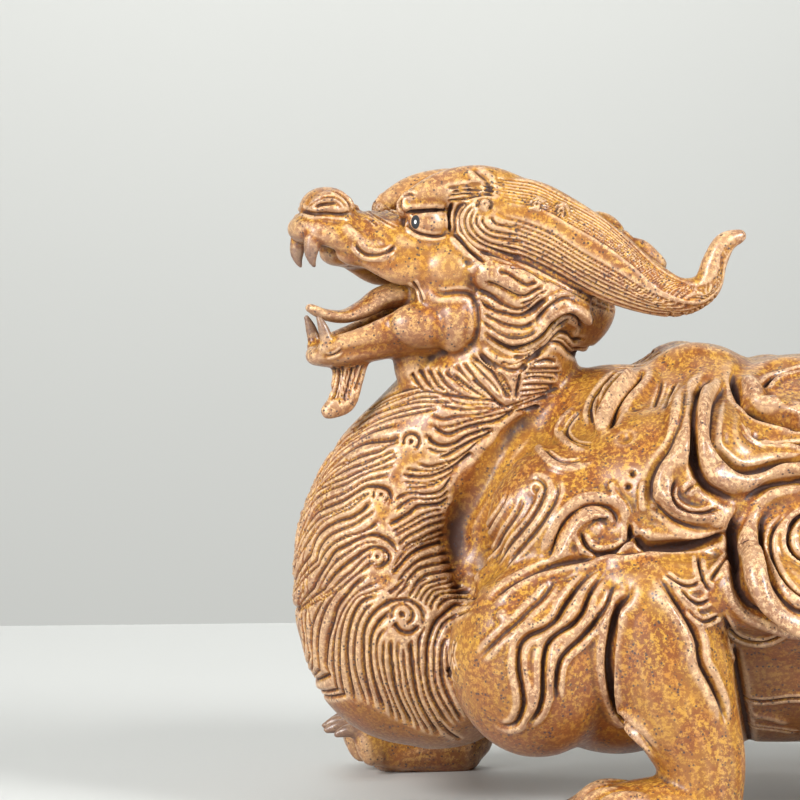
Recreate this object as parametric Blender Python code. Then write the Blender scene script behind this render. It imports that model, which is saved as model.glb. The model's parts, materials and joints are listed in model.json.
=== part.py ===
"""A dragon turtle tea pet: a horned dragon's head on a turtle's body, one solid piece of fired clay.

The figure faces -X, its left side is -Y, and it stands on the ground at z = 0.
It is modelled as a potter builds it. Balls and rolls of clay are pressed together and run smooth
into the body. The head, the legs and the scrolls of the shell are laid on it. The locks of the mane
and the edges of the scrolls are carved, and the soles are cut flat.
"""
import math

import bmesh
import bpy
import numpy as np
from mathutils import Matrix, Vector
from mathutils.bvhtree import BVHTree

# The driving size, in metres, from the ground to the top of the brow
HEIGHT = 0.120

# All other sizes are shares, of which one is a millimetre at the real height

# How the clay is worked, in shares. The body is pressed together first, coarsely, and run smooth
BODY_GRAIN = 1.5
BODY_ROUNDS = 8
GRAIN = 0.65
ROUNDS = 4
SUNK = 0.1
TRIANGLES = 9700
ROLL_SIDES = 20
ROLL_STEPS = 6
TOES = 4
TOE_PITCH = 4.6

# The carving is drawn on an upright sheet through the middle of the figure, as an eye at its left
# and a little ahead of it sees it: shares behind the middle, and shares up from the ground
SHEET_TURN = math.radians(-8)
SHEET_RIGHT = Vector((math.cos(SHEET_TURN), math.sin(SHEET_TURN), 0))
SHEET_AWAY = Vector((-math.sin(SHEET_TURN), math.cos(SHEET_TURN), 0))
EYE = SHEET_RIGHT * -36.4 - SHEET_AWAY * 560 + Vector((0, 0, 96.8))

# The main sizes of the body, in shares: halves of the belly, the shell and its humps at the shoulders
# and behind the neck
BELLY_LONG = 60.0
BELLY_WIDE = 33.0
SHELL_LONG = 55.0
SHELL_WIDE = 41.0
SHELL_RISE = 43.0
HUMP_RISE = 26.5
NAPE_RISE = 21.0
HAUNCH_LONG = 18.0
NECK_THICK = 15.0
HORN_THICK = 8.2

# Where the head sits on the neck, in shares, and how far it turns to the figure's left, in degrees
HEAD_AT = (-51.0, -3.0, 96.8)
HEAD_TURN = 12.0

# How far out the feet stand from the middle, and how thick the ankles are
FORE_OUT = 40.0
HIND_OUT = 37.0
ANKLE = 7.2

# The right foreleg is a step ahead of the left one, and the right hind leg a little behind
FORE_STEP = -34.0
HIND_STEP = 5.0
# How far that right forefoot lifts its toes
TOE_LIFT = 3.5

CLAY_COLOUR = (0.47, 0.24, 0.075, 1.0)
CLAY_ROUGHNESS = 0.45

# The scrolls of the shell, each a roll laid on it: shares along the sheet, up it, and half its width
SCROLLS = (
    ((3.5, 84, 1.5), (-4, 84, 2.6), (-10.5, 81.5, 3.4), (-16, 77.5, 3.8), (-20.5, 73.5, 3.2),
     (-22.5, 69.5, 2)),
    ((-3, 81, 2), (-7.5, 75, 2.6), (-8, 68, 2.7), (-10, 62.5, 2.6), (-11.5, 58, 2.4),
     (-9, 53.5, 2.3), (-4, 52, 2.2), (2.5, 54, 1.6)),
    ((2, 83, 1.8), (-2, 77, 2.5), (-3, 70, 2.6), (-2, 63.5, 2.6), (2, 60, 2.5), (8.5, 60.5, 2.3),
     (15, 62.5, 2.1), (22, 66.5, 1.8)),
    ((4.5, 77, 1.6), (2, 71, 2.1), (4, 66.5, 2.1), (10, 65.5, 2), (16, 68, 1.8), (21, 72, 1.6)),
    ((8, 73.5, 1.8), (5.5, 78, 2.2), (8, 82, 2.4), (14, 83, 2.5), (20, 80.5, 2.5), (21, 75.5, 2.3),
     (16.5, 73.5, 2), (13, 76, 1.8)),
    ((14, 60, 1.8), (8, 56.5, 2.4), (5.5, 49.5, 2.6), (6.5, 42.5, 2.7), (11, 37.5, 2.6),
     (17, 35.5, 2.5), (24, 37, 2.3), (28, 43, 2)),
    ((19, 57.5, 1.7), (13.5, 54.5, 2), (11, 49, 2.2), (12.5, 43.5, 2.2), (17, 41, 2),
     (22, 43, 1.9), (23, 48, 1.8), (18.5, 50, 1.8)),
    ((-32, 45, 1.6), (-31, 51, 2.1), (-26.5, 55.5, 2.3), (-21, 55.5, 2.3), (-19.5, 51, 2.1),
     (-22.5, 47.8, 1.8), (-25.5, 50.5, 1.6)),
    ((-33.5, 62.5, 1.4), (-34.5, 59, 1.6), (-37.5, 53.5, 2), (-42, 49, 2), (-46, 46, 1.6)),
)
# Plainer scrolls behind them: the middle on the sheet, the outer reach and the turn it starts at
REAR_SCROLLS = ((35, 71, 12, 150), (40, 49, 12, 200), (55, 64, 10, 120), (61, 47, 8, 210))
SCROLL_WIDTH = 0.22
SCROLL_TAPER = 0.05
# How deep the shell is below its widest line, as a share of how high it is above it
SHELL_UNDER = 0.5

# The creases that part the scrolls, the legs and the features: width, depth, then points on the sheet
CREASES = (
    (1.9, 2.0, ((-1, 82), (-4, 78.5), (-5.2, 75), (-5.5, 70), (-5.2, 65.5), (-4, 61.5), (-1.5, 58.5),
                (1.5, 57), (5, 57))),
    (1.2, 1.2, ((2.5, 80), (-0.2, 77), (-0.8, 72), (-0.4, 67), (1.5, 64), (5, 62.7), (9.5, 62.7),
                (15, 65))),
    (1.6, 1.8, ((3, 81), (2.8, 78.5), (4, 75.5), (6, 73), (8.5, 71), (12, 70.5), (17, 70.5))),
    (2.0, 2.0, ((-13.5, 84.5), (-18, 74.5), (-21, 70), (-22, 67))),
    (1.7, 1.7, ((-18, 56), (-17, 53), (-16.5, 50), (-14, 48), (-5.5, 48), (0, 50), (3, 51))),
    (2.0, 2.2, ((5, 57), (3, 54), (2.2, 50), (2.8, 45.5), (5, 40), (7.5, 36.5), (11.5, 33), (16, 31.5),
                (28, 32.5), (42, 35), (56, 39), (68, 43))),
    (2.2, 2.4, ((-30.5, 77), (-38, 68), (-44, 62.5), (-48.5, 56), (-51, 48), (-49.5, 40.5),
                (-45.5, 35.5))),
    (1.4, 1.4, ((-34.5, 44), (-33.5, 49), (-30, 55), (-24.5, 58.5), (-18.5, 57), (-16.7, 52))),
    (1.3, 1.4, ((-24.5, 43), (-30.5, 37), (-36.5, 31), (-38, 22), (-37.5, 15), (-41.5, 13.5))),
    (1.3, 1.4, ((-22.5, 43), (-26.5, 36), (-32.5, 29), (-33.5, 22.5), (-34, 15))),
    (1.3, 1.3, ((-20, 41.5), (-23, 36), (-29.5, 27.5), (-31, 20))),
    (1.8, 1.6, ((-17, 41.5), (-20.5, 34), (-21.7, 27.5), (-19.5, 19))),
    (1.5, 1.2, ((-11.5, 41.5), (-5.5, 34), (-4, 26.5), (-1, 18.5))),
)
# The locks of hair: how many, their width and depth, then the first and the last lock on the sheet
NECK_LOCKS = (
    (5, 1.5, 1.3, ((-36, 75), (-47.5, 73.5), (-57, 71), (-65, 69.5), (-72.5, 65.5)),
     ((-45.5, 62.5), (-53.5, 59.5), (-61, 59), (-68.5, 55), (-76, 48))),
    (4, 1.5, 1.3, ((-48.5, 57), (-57, 52), (-65, 49), (-71.5, 42.5), (-76, 34)),
     ((-47.5, 45.5), (-55, 41.5), (-63, 39.5), (-68.5, 36), (-71.5, 28))),
    (5, 1.5, 1.3, ((-72, 33), (-72, 26), (-68, 19), (-61, 13)),
     ((-51, 30), (-52, 23.5), (-50.5, 17), (-49, 13))),
)
HEAD_LOCKS = (
    (4, 1.4, 1.2, ((-44, 100), (-36, 100), (-29, 95), (-25, 89)),
     ((-46, 92), (-42, 85), (-36, 84), (-29, 87))),
    (4, 1.1, 0.9, ((-48, 113), (-36, 116), (-24, 106), (-12, 98)),
     ((-47, 107), (-36, 106), (-24, 99), (-12, 95.5))),
)


def body_frame(side):
    """The frame of the body, mirrored for the right side when side is -1."""
    return Matrix.Diagonal((1, side, 1, 1))


def head_frame(side):
    """The frame of the head: x to the rear, y to its right, z up, mirrored for the right side."""
    turn = Matrix.Rotation(math.radians(HEAD_TURN), 4, "Z")
    return Matrix.Translation(HEAD_AT) @ turn @ Matrix.Diagonal((1, side, 1, 1))


def run_through(stations, steps=ROLL_STEPS):
    """A Catmull-Rom curve through rows of numbers, with a few steps from each row to the next."""
    rows = np.array(stations, float)
    rows = np.vstack((2 * rows[0] - rows[1], rows, 2 * rows[-1] - rows[-2]))
    out = []
    for before, start, end, after in zip(rows, rows[1:], rows[2:], rows[3:]):
        for t in np.linspace(0, 1, steps, endpoint=False):
            out.append(0.5 * (2 * start + (end - before) * t
                              + (2 * before - 5 * start + 4 * end - after) * t ** 2
                              + (3 * start - before - 3 * end + after) * t ** 3))
    out.append(rows[-2])
    return np.array(out)


def close_body(clay, rings):
    """Joins rings of points into one closed body, with a point at each end."""
    loops = [[clay.verts.new(point) for point in ring] for ring in rings[1:-1]]
    first, last = (clay.verts.new(rings[i][0]) for i in (0, -1))
    faces = []
    sides = len(loops[0])
    for low, high in zip(loops, loops[1:]):
        faces += [clay.faces.new((low[i], low[(i + 1) % sides], high[(i + 1) % sides], high[i]))
                  for i in range(sides)]
    for i in range(sides):
        faces.append(clay.faces.new((first, loops[0][(i + 1) % sides], loops[0][i])))
        faces.append(clay.faces.new((last, loops[-1][i], loops[-1][(i + 1) % sides])))
    bmesh.ops.recalc_face_normals(clay, faces=faces)


def ball(clay, frame, at, size, lean=0.0, under=1.0):
    """A ball with its own half sizes along x, y and z, leaning forward by some degrees.

    Its lower half is flattened to the share that under gives.
    """
    lean = Matrix.Rotation(math.radians(-lean), 3, "Y")
    rings = []
    for up in np.linspace(-90, 90, 25):
        level, reach = math.sin(math.radians(up)), math.cos(math.radians(up))
        if level < 0:
            level *= under
        ring = []
        for around in np.linspace(0, 2 * math.pi, 2 * ROLL_SIDES, endpoint=False):
            point = Vector((size[0] * reach * math.cos(around), size[1] * reach * math.sin(around),
                            size[2] * level))
            ring.append(frame @ (lean @ point + Vector(at)))
        rings.append(ring)
    close_body(clay, rings)


def lay_roll(clay, path, acrosses, widths, depths):
    """A roll of clay with round ends along a path. Across it lies its width, at right angles its depth."""
    last = len(path) - 1
    stops = [(0, angle) for angle in (90, 65, 40, 20)]
    stops += [(i, 0) for i in range(1, last)]
    stops += [(last, -angle) for angle in (20, 40, 65, 90)]
    rings = []
    for i, angle in stops:
        ahead = Vector(path[min(i + 1, last)] - path[max(i - 1, 0)]).normalized()
        across = Vector(acrosses[i])
        across = (across - ahead * ahead.dot(across)).normalized()
        rise = ahead.cross(across)
        reach = math.cos(math.radians(angle))
        middle = Vector(path[i]) - ahead * math.sin(math.radians(angle)) * min(widths[i], depths[i])
        rings.append([middle + across * widths[i] * reach * math.cos(around)
                      + rise * depths[i] * reach * math.sin(around)
                      for around in np.linspace(0, 2 * math.pi, ROLL_SIDES, endpoint=False)])
    close_body(clay, rings)


def roll(clay, frame, stations):
    """A roll in a frame. A station is x, y, z, half the width across and half the depth."""
    rows = run_through(stations)
    path = np.array([frame @ Vector(row[:3]) for row in rows])
    across = frame.to_3x3() @ Vector((0, 1, 0))
    lay_roll(clay, path, [across] * len(path), rows[:, 3], rows[:, 4])


def seen(skin, along, up):
    """The place on the skin, and the way it faces, under a point of the sheet."""
    aim = SHEET_RIGHT * along + Vector((0, 0, up))
    place, normal, _, _ = skin.ray_cast(EYE, (aim - EYE).normalized())
    if place is None:
        place, normal, _, _ = skin.find_nearest(aim)
    return place, normal


def lay_on(clay, skin, drawn, side):
    """Lays a roll on the skin along a path drawn on the sheet, a little sunk into it."""
    rows = run_through(drawn)
    places, normals = zip(*(seen(skin, along, up) for along, up, _ in rows))
    flip = body_frame(side)
    places = [flip @ (place - normal * width * SUNK)
              for place, normal, width in zip(places, normals, rows[:, 2])]
    normals = [flip.to_3x3() @ normal for normal in normals]
    path = np.array(places)
    aheads = np.gradient(path, axis=0)
    acrosses = [Vector(ahead).cross(normal) for ahead, normal in zip(aheads, normals)]
    lay_roll(clay, path, acrosses, rows[:, 2], rows[:, 2])


def scroll(middle_along, middle_up, reach, start, turns=1.35):
    """A spiral drawn on the sheet, from its outer end to its middle, as rows for lay_on."""
    rows = []
    for t in np.linspace(0, 1, 9):
        radius = reach * (1 - 0.75 * t)
        angle = math.radians(start) - turns * 2 * math.pi * t
        rows.append((middle_along + radius * math.cos(angle), middle_up + radius * math.sin(angle),
                     reach * (SCROLL_WIDTH - SCROLL_TAPER * t)))
    return rows


def put_torso(clay):
    """The belly, the chest and the neck up to the back of the head."""
    frame = body_frame(1)
    ball(clay, frame, (12, 0, 35), (BELLY_LONG, BELLY_WIDE, 24))
    ball(clay, frame, (-58, 0, 33), (22, 20, 22))
    roll(clay, frame, [(-54, 0, 28, 21, 18), (-62.5, 0, 38, 19, 19), (-65.3, 0, 50, 16.5, 16),
                       (-62.5, 0, 60, NECK_THICK, 14.8), (-56, 0, 69, NECK_THICK, 14.4),
                       (-47, -1, 78, NECK_THICK, 14), (-40, -2, 88, 14, 13)])


def put_shell(clay):
    """The dome of the shell, with shoulders that come forward around the neck."""
    frame = body_frame(1)
    ball(clay, frame, (19, 0, 42), (SHELL_LONG, SHELL_WIDE, SHELL_RISE), under=SHELL_UNDER)
    ball(clay, frame, (-3, 0, 58), (31, 31, HUMP_RISE))
    ball(clay, frame, (-20, 0, 62), (20, 27, NAPE_RISE))
    for side in (1, -1):
        frame = body_frame(side)
        ball(clay, frame, (-36, -24, 53), (18, 14, 16.5), 25)
        ball(clay, frame, (-15, -24, 58), (22, 14.5, 18), 20)
        roll(clay, frame, [(-48, -25, 44, 4, 6), (-36, -34, 44, 4, 6), (-15, -39, 44, 5, 6),
                           (10, -SHELL_WIDE, 41, 5, 6), (34, 0.5 - SHELL_WIDE, 41, 5.5, 6),
                           (56, -31, 43, 6, 6), (70, -16, 45, 6, 6), (75.5, 4, 46, 6, 6)])


def put_upper_limbs(clay):
    """The swollen upper arms, the shoulders over them and the round haunches."""
    for side, step in ((1, 0.0), (-1, HIND_STEP)):
        frame = body_frame(side)
        ball(clay, frame, (-40, -30.5, 31), (15.5, 13.5, 18), 8)
        ball(clay, frame, (-24, -24, 27), (17, 14, 14.5))
        ball(clay, frame, (-29, -32, 36), (17, 11, 14), 20)
        ball(clay, frame, (46 + 0.5 * step, -29, 26), (HAUNCH_LONG, 13.5, 17.5), -10)


def put_tail(clay):
    """A short tail that hangs down behind, turned to the left."""
    roll(clay, body_frame(1), [(60, 0, 38, 10, 9), (69, 0, 34, 7, 6.5), (76, -2, 26, 5, 4.8),
                               (79, -6, 18, 3.8, 3.6), (77, -10, 12, 2.4, 2.4)])


def put_foot(clay, frame, ankle, aside, lift=0.0):
    """A broad foot under an ankle, with toes that end in claws and may be lifted a little."""
    roll(clay, frame, [(ankle - 1, aside, 5, 7.6, 6.5), (ankle - 8, aside, 5, 8.6, 6),
                       (ankle - 14, aside, 4.6, 8.8, 5.4)])
    for toe in range(TOES):
        spread = toe - (TOES - 1) / 2
        y = aside + spread * TOE_PITCH
        tip = ankle - 24.5 + 1.6 * abs(spread)
        splay = spread * 0.9
        roll(clay, frame, [(tip + 12, y - splay, 4.5, 2.5, 4.5),
                           (tip + 6, y, 5.4 + 0.5 * lift, 2.7, 4.4 + 0.4 * lift),
                           (tip + 2.5, y + splay, 4 + 0.7 * lift, 2.4, 3.4 + 0.4 * lift)])
        roll(clay, frame, [(tip + 3, y + splay, 5.4 + 1.1 * lift, 1.6, 1.9),
                           (tip - 1, y + 1.3 * splay, 4 + 1.5 * lift, 1.3, 1.5),
                           (tip - 3.6, y + 1.5 * splay, 1.8 + 1.9 * lift, 0.7, 0.8)])


def put_lower_limbs(clay):
    """The forelegs and the shins, down to the feet."""
    for side, step in ((1, 0.0), (-1, FORE_STEP)):
        frame = body_frame(side)
        roll(clay, frame, [(-24, -34.5, 44, 8, 8), (-20 + 0.25 * step, -36.5, 41, 9, 10),
                           (-17.3 + 0.5 * step, -38.5, 33, 8.4, 11.2),
                           (-15.2 + 0.75 * step, -39.5, 24, 7.8, 10.2),
                           (-11.8 + step, -FORE_OUT, 14.5, ANKLE, 8.2),
                           (-11.2 + step, -FORE_OUT, 7, 6.9, ANKLE)])
        put_foot(clay, frame, -11.2 + step, -FORE_OUT, TOE_LIFT * step / FORE_STEP)
    for side, step in ((1, 0.0), (-1, HIND_STEP)):
        frame = body_frame(side)
        roll(clay, frame, [(40 + 0.5 * step, -31, 32, 8, 10), (44 + 0.7 * step, -36, 22, 7.6, 9.4),
                           (50 + step, -HIND_OUT, 13, 7.0, 8),
                           (50 + step, -HIND_OUT, 7, 6.8, ANKLE)])
        put_foot(clay, frame, 50 + step, -HIND_OUT)


def put_skull(clay):
    """The skull, the nape, the cheeks, the brows and the eyes."""
    frame = head_frame(1)
    ball(clay, frame, (3, 0, 12.5), (15, 11, 9.6))
    ball(clay, frame, (13.5, 0, -8), (17.5, 13, 14))
    ball(clay, frame, (-2, 0, -1), (9.5, 8.6, 12.5))
    for side in (1, -1):
        frame = head_frame(side)
        roll(clay, frame, [(-16, -7, 15.6, 1.7, 1.7), (-13, -7.6, 16.9, 2.2, 2.1),
                           (-9.5, -8.2, 18, 2.9, 2.9), (-4.5, -8.2, 18.9, 3.7, 3.6),
                           (0, -8, 19, 4, 3.7), (5, -8, 18.2, 4, 3.5)])
        ball(clay, frame, (-7.9, -7.3, 12.3), (4.2, 3.1, 3.0))
        ball(clay, frame, (-2.6, -9.2, 4.4), (6.6, 4.2, 5.4), 30)
        ball(clay, frame, (-1.8, -8.8, -5.6), (4.0, 4.4, 6.2))
        ball(clay, frame, (-6, -7.8, -0.5), (5.4, 3.4, 7.5))
        ball(clay, frame, (10, -9, -5), (11.5, 7, 10.5))


def put_upper_jaw(clay):
    """The upper jaw: the bridge, a round nose with two nostril wings, the lips and two fangs."""
    frame = head_frame(1)
    roll(clay, frame, [(-27, 0, 12, 5.6, 3.2), (-22, 0, 11.2, 6.2, 4.2), (-17, 0, 10.0, 6.9, 5.2),
                       (-12, 0, 9.0, 8.2, 6.2), (-5, 0, 8, 10, 8), (4, 0, 6.5, 10, 9)])
    ball(clay, frame, (-25.2, 0, 15.3), (4.9, 5.0, 3.8))
    ball(clay, frame, (-28.1, 0, 11.3), (4.2, 6.4, 3.0))
    ball(clay, frame, (-22.5, 0, 6.9), (4.0, 3.6, 2.6))
    for at, radius in ((-19.9, 1.0), (-18.4, 0.9)):
        ball(clay, frame, (at, 0, 15 - 0.9 * (at + 19.9)), (radius, 1.6 * radius, radius))
    for side in (1, -1):
        frame = head_frame(side)
        ball(clay, frame, (-25, -3.4, 15.2), (4.4, 2.6, 3.1))
        roll(clay, frame, [(-28.5, -5.2, 10.6, 1.7, 2.0), (-24, -5.8, 9.4, 1.7, 2.2),
                           (-20, -6.4, 7.2, 1.7, 2.4), (-16.5, -7, 5, 1.8, 2.4),
                           (-13.5, -7.8, 3.6, 2, 2.6), (-9.5, -8.6, 3.8, 2.4, 3.2)])
        roll(clay, frame, [(-29.2, -4.7, 9.8, 1.5, 1.7), (-29.5, -4.7, 7.2, 1.3, 1.4),
                           (-29.1, -4.6, 5.3, 0.7, 0.7)])


def put_lower_jaw(clay):
    """The lower jaw: a trough with raised rims, two fangs, the tongue and the goatee."""
    frame = head_frame(1)
    roll(clay, frame, [(0, 0, -7, 8.4, 5.5), (-6, 0, -8.2, 8.0, 4.6), (-12, 0, -9.2, 7.0, 3.4),
                       (-18, 0, -10.8, 6.0, 2.7), (-23.5, 0, -12, 5.2, 2.3), (-27, 0, -12, 4.2, 2.0)])
    roll(clay, frame, [(-6, 0, -0.3, 4.2, 2.6), (-13.9, 0, -1.3, 3.9, 2.3),
                       (-17.7, 0, -3.3, 3.7, 1.8), (-21.6, 0, -4.8, 3.3, 1.3),
                       (-25.4, 0, -4.5, 2.6, 1.1), (-28.2, 0, -3.3, 1.6, 0.9)])
    roll(clay, frame, [(-20.2, 0, -12.4, 2.8, 3.3), (-21.2, 0, -17, 2.4, 3.0),
                       (-22.2, 0, -20.4, 2.1, 2.8), (-24.8, 0, -22.4, 1.5, 1.6)])
    for side in (1, -1):
        frame = head_frame(side)
        roll(clay, frame, [(-26.5, -3.9, -10.4, 1.4, 1.5), (-20, -5.2, -8.6, 1.5, 1.9),
                           (-14, -6.3, -6.6, 1.6, 2.5), (-8.5, -7.4, -4.6, 2.3, 3.2)])
        roll(clay, frame, [(-26.2, -4.2, -9.4, 1.1, 1.2), (-27.0, -4.2, -6.9, 0.95, 0.95),
                           (-27.6, -4.1, -5.4, 0.55, 0.55)])


def put_horns(clay):
    """The horns, which sweep back from the temples, sink and turn up at the tips."""
    for side in (1, -1):
        roll(clay, head_frame(side), [
            (2, -9, 12.3, 5.4, 7.4), (9, -10.5, 12.6, 6, HORN_THICK), (15.6, -13, 9.8, 6.3, 7.7),
            (22.3, -16, 5.6, 6, 6.8), (28.6, -19.5, 1.4, 5, 5.4), (35, -23, -1.2, 3.6, 3.8),
            (39.6, -25.4, 0.5, 2.7, 2.8), (41, -26.2, 5, 2.3, 2.4), (42.8, -26.7, 8.6, 2, 2.1),
            (45.6, -27, 9.9, 1.4, 1.4)])


def put_scrolls(clay, skin):
    """The scrolls of the shell, on both sides."""
    for side in (1, -1):
        for drawn in SCROLLS:
            lay_on(clay, skin, drawn, side)
        for along, up, reach, start in REAR_SCROLLS:
            lay_on(clay, skin, scroll(along, up, reach, start), side)


def as_object(clay, name):
    """Turns a bmesh into an object, still in shares."""
    mesh = bpy.data.meshes.new(name)
    clay.to_mesh(mesh)
    clay.free()
    thing = bpy.data.objects.new(name, mesh)
    bpy.context.scene.collection.objects.link(thing)
    return thing


def apply_modifiers(thing):
    """Keeps the mesh that the object's modifiers give, and drops the modifiers."""
    graph = bpy.context.evaluated_depsgraph_get()
    mesh = bpy.data.meshes.new_from_object(thing.evaluated_get(graph))
    thing.modifiers.clear()
    thing.data = mesh


def press_together(thing, grain, rounds):
    """Joins the masses into one skin and runs it smooth, as wet hands do."""
    remesh = thing.modifiers.new("Join", "REMESH")
    remesh.mode = "VOXEL"
    remesh.voxel_size = grain
    smooth = thing.modifiers.new("Run smooth", "SMOOTH")
    smooth.factor = 0.5
    smooth.iterations = rounds
    apply_modifiers(thing)


def skin_of(mesh):
    """A tree of the mesh's faces, to cast sight lines at."""
    points = [vertex.co for vertex in mesh.vertices]
    return BVHTree.FromPolygons(points, [tuple(face.vertices) for face in mesh.polygons])


def on_both_sides(skin, drawn, frame):
    """The points on the skin under a line drawn on the sheet, and their mirror images in a frame."""
    flip = frame(-1) @ frame(1).inverted()
    left = [seen(skin, along, up)[0] for along, up in run_through(drawn, 12)]
    right = [skin.find_nearest(flip @ point)[0] for point in left]
    return [np.array(left), np.array(right)]


def between(first, last, count):
    """Lines spread evenly from a first to a last drawn line."""
    first, last = np.array(first, float), np.array(last, float)
    return [first + (last - first) * t for t in np.linspace(0, 1, count)]


def carve(mesh):
    """Presses the creases and the locks into the skin, each a rounded valley along its line."""
    skin = skin_of(mesh)
    strokes = []
    for width, depth, drawn in CREASES:
        strokes += [(line, width, depth) for line in on_both_sides(skin, drawn, body_frame)]
    for locks, frame in ((NECK_LOCKS, body_frame), (HEAD_LOCKS, head_frame)):
        for count, width, depth, first, last in locks:
            for drawn in between(first, last, count):
                strokes += [(line, width, depth) for line in on_both_sides(skin, drawn, frame)]
    points = np.empty(len(mesh.vertices) * 3)
    mesh.vertices.foreach_get("co", points)
    points = points.reshape(-1, 3)
    normals = np.array([vertex.normal for vertex in mesh.vertices])
    sink = np.zeros(len(points))
    for line, width, depth in strokes:
        near = np.all((points > line.min(0) - width) & (points < line.max(0) + width), axis=1)
        ids = np.nonzero(near)[0]
        away = np.min(np.linalg.norm(points[ids, None] - line[None], axis=2), axis=1)
        fall = np.clip(1 - (away / width) ** 2, 0, 1) ** 2
        sink[ids] = np.maximum(sink[ids], depth * fall)
    points -= normals * sink[:, None]
    mesh.vertices.foreach_set("co", points.ravel())
    mesh.update()


def thin_out(thing):
    """Leaves only as many flat faces as the form needs."""
    thin = thing.modifiers.new("Thin out", "DECIMATE")
    thin.ratio = TRIANGLES / (2 * len(thing.data.polygons))
    thin.use_collapse_triangulate = True
    apply_modifiers(thing)


def cut_soles(mesh):
    """Cuts the soles flat on the ground, and stands the figure at its real size."""
    clay = bmesh.new()
    clay.from_mesh(mesh)
    cut = bmesh.ops.bisect_plane(clay, geom=clay.verts[:] + clay.edges[:] + clay.faces[:],
                                 plane_co=(0, 0, 0), plane_no=(0, 0, -1), clear_outer=True)
    edges = [part for part in cut["geom_cut"] if isinstance(part, bmesh.types.BMEdge)]
    bmesh.ops.holes_fill(clay, edges=edges, sides=0)
    bmesh.ops.triangulate(clay, faces=clay.faces[:])
    corners = np.array([vertex.co for vertex in clay.verts])
    low, high = corners.min(0), corners.max(0)
    bmesh.ops.translate(clay, vec=(-(low[0] + high[0]) / 2, -(low[1] + high[1]) / 2, 0), verts=clay.verts)
    bmesh.ops.scale(clay, vec=Vector((1, 1, 1)) * HEIGHT / high[2], verts=clay.verts)
    clay.to_mesh(mesh)
    clay.free()


def clay_material():
    """Ochre fired clay with a satin face."""
    material = bpy.data.materials.new("fired_clay")
    material.use_nodes = True
    shader = material.node_tree.nodes["Principled BSDF"]
    shader.inputs["Base Color"].default_value = CLAY_COLOUR
    shader.inputs["Roughness"].default_value = CLAY_ROUGHNESS
    shader.inputs["Metallic"].default_value = 0.0
    return material


def main():
    for thing in list(bpy.data.objects):
        bpy.data.objects.remove(thing, do_unlink=True)
    clay = bmesh.new()
    for put in (put_torso, put_shell, put_upper_limbs):
        put(clay)
    body = as_object(clay, "body")
    press_together(body, BODY_GRAIN, BODY_ROUNDS)

    clay = bmesh.new()
    clay.from_mesh(body.data)
    put_scrolls(clay, skin_of(body.data))
    for put in (put_tail, put_lower_limbs, put_skull, put_upper_jaw, put_lower_jaw, put_horns):
        put(clay)
    bpy.data.objects.remove(body, do_unlink=True)
    turtle = as_object(clay, "dragon_turtle")
    press_together(turtle, GRAIN, ROUNDS)
    carve(turtle.data)
    thin_out(turtle)
    cut_soles(turtle.data)
    turtle.data.materials.append(clay_material())


main()
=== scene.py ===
"""A dragon turtle tea pet of fired clay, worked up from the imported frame.

The clay is worked in shares, of which one is a millimetre at the real height. Balls and rolls are
pressed together and run smooth, curls are laid on the shell, and creases, hair and wrinkles are
carved along lines that are drawn as the photograph shows them. The figure is then cut into a few
pieces.
"""
import json
import math

import bmesh
import bpy
import numpy as np
from mathutils import Matrix, Vector
from mathutils.bvhtree import BVHTree

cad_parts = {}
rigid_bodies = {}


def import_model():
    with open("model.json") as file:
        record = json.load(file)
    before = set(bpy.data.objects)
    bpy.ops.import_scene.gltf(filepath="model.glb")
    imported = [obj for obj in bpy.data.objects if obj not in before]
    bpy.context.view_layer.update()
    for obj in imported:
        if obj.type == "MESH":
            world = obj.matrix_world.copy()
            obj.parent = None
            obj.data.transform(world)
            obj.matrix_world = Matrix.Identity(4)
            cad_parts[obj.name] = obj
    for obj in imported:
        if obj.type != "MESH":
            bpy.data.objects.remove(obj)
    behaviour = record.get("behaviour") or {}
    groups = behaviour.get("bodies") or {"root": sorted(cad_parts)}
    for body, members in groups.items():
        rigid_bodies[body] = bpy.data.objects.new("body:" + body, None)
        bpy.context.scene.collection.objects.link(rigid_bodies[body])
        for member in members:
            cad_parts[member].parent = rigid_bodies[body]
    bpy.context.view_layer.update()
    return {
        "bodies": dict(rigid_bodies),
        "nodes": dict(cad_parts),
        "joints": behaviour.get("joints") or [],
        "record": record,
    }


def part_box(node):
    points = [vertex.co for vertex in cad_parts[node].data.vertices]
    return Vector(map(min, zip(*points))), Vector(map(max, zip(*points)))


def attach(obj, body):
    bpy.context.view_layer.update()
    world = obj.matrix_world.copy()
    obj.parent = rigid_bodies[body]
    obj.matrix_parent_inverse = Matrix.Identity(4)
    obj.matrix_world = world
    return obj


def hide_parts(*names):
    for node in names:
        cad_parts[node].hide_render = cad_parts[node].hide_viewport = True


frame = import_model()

bl_info = {
    "name": "Dragon turtle tea pet",
    "version": (1, 0, 0),
    "blender": (4, 5, 0),
    "location": "View3D > Sidebar > Tea pet",
    "description": "Sculpts a dragon turtle tea pet in fired clay, with its stage",
    "category": "Add Mesh",
}

# Where the working clay's box has its middle, and the height of its brow, in shares
MIDDLE = Vector((-0.1088, -0.0351, 0))
BROW_TOP = 119.5382

# The clay is pressed together three times, ever finer, before the last time: the grain in shares
# and how often it is run smooth
BODY_GRAIN, BODY_ROUNDS = 1.5, 8
MELT_GRAIN, MELT_ROUNDS = 0.9, 10
SOFT_GRAIN, SOFT_ROUNDS = 0.6, 7
SMOOTH_FACTOR = 0.5

# Balls and rolls: the levels of a ball, the sides of a roll, the steps between its stations and the
# turns of its round ends in degrees. A roll laid on the body is sunk by a share of its width
BALL_LEVELS = 25
ROLL_SIDES = 20
ROLL_STEPS = 6
ROLL_ENDS = (90, 65, 40, 20)
SUNK = 0.45

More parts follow.
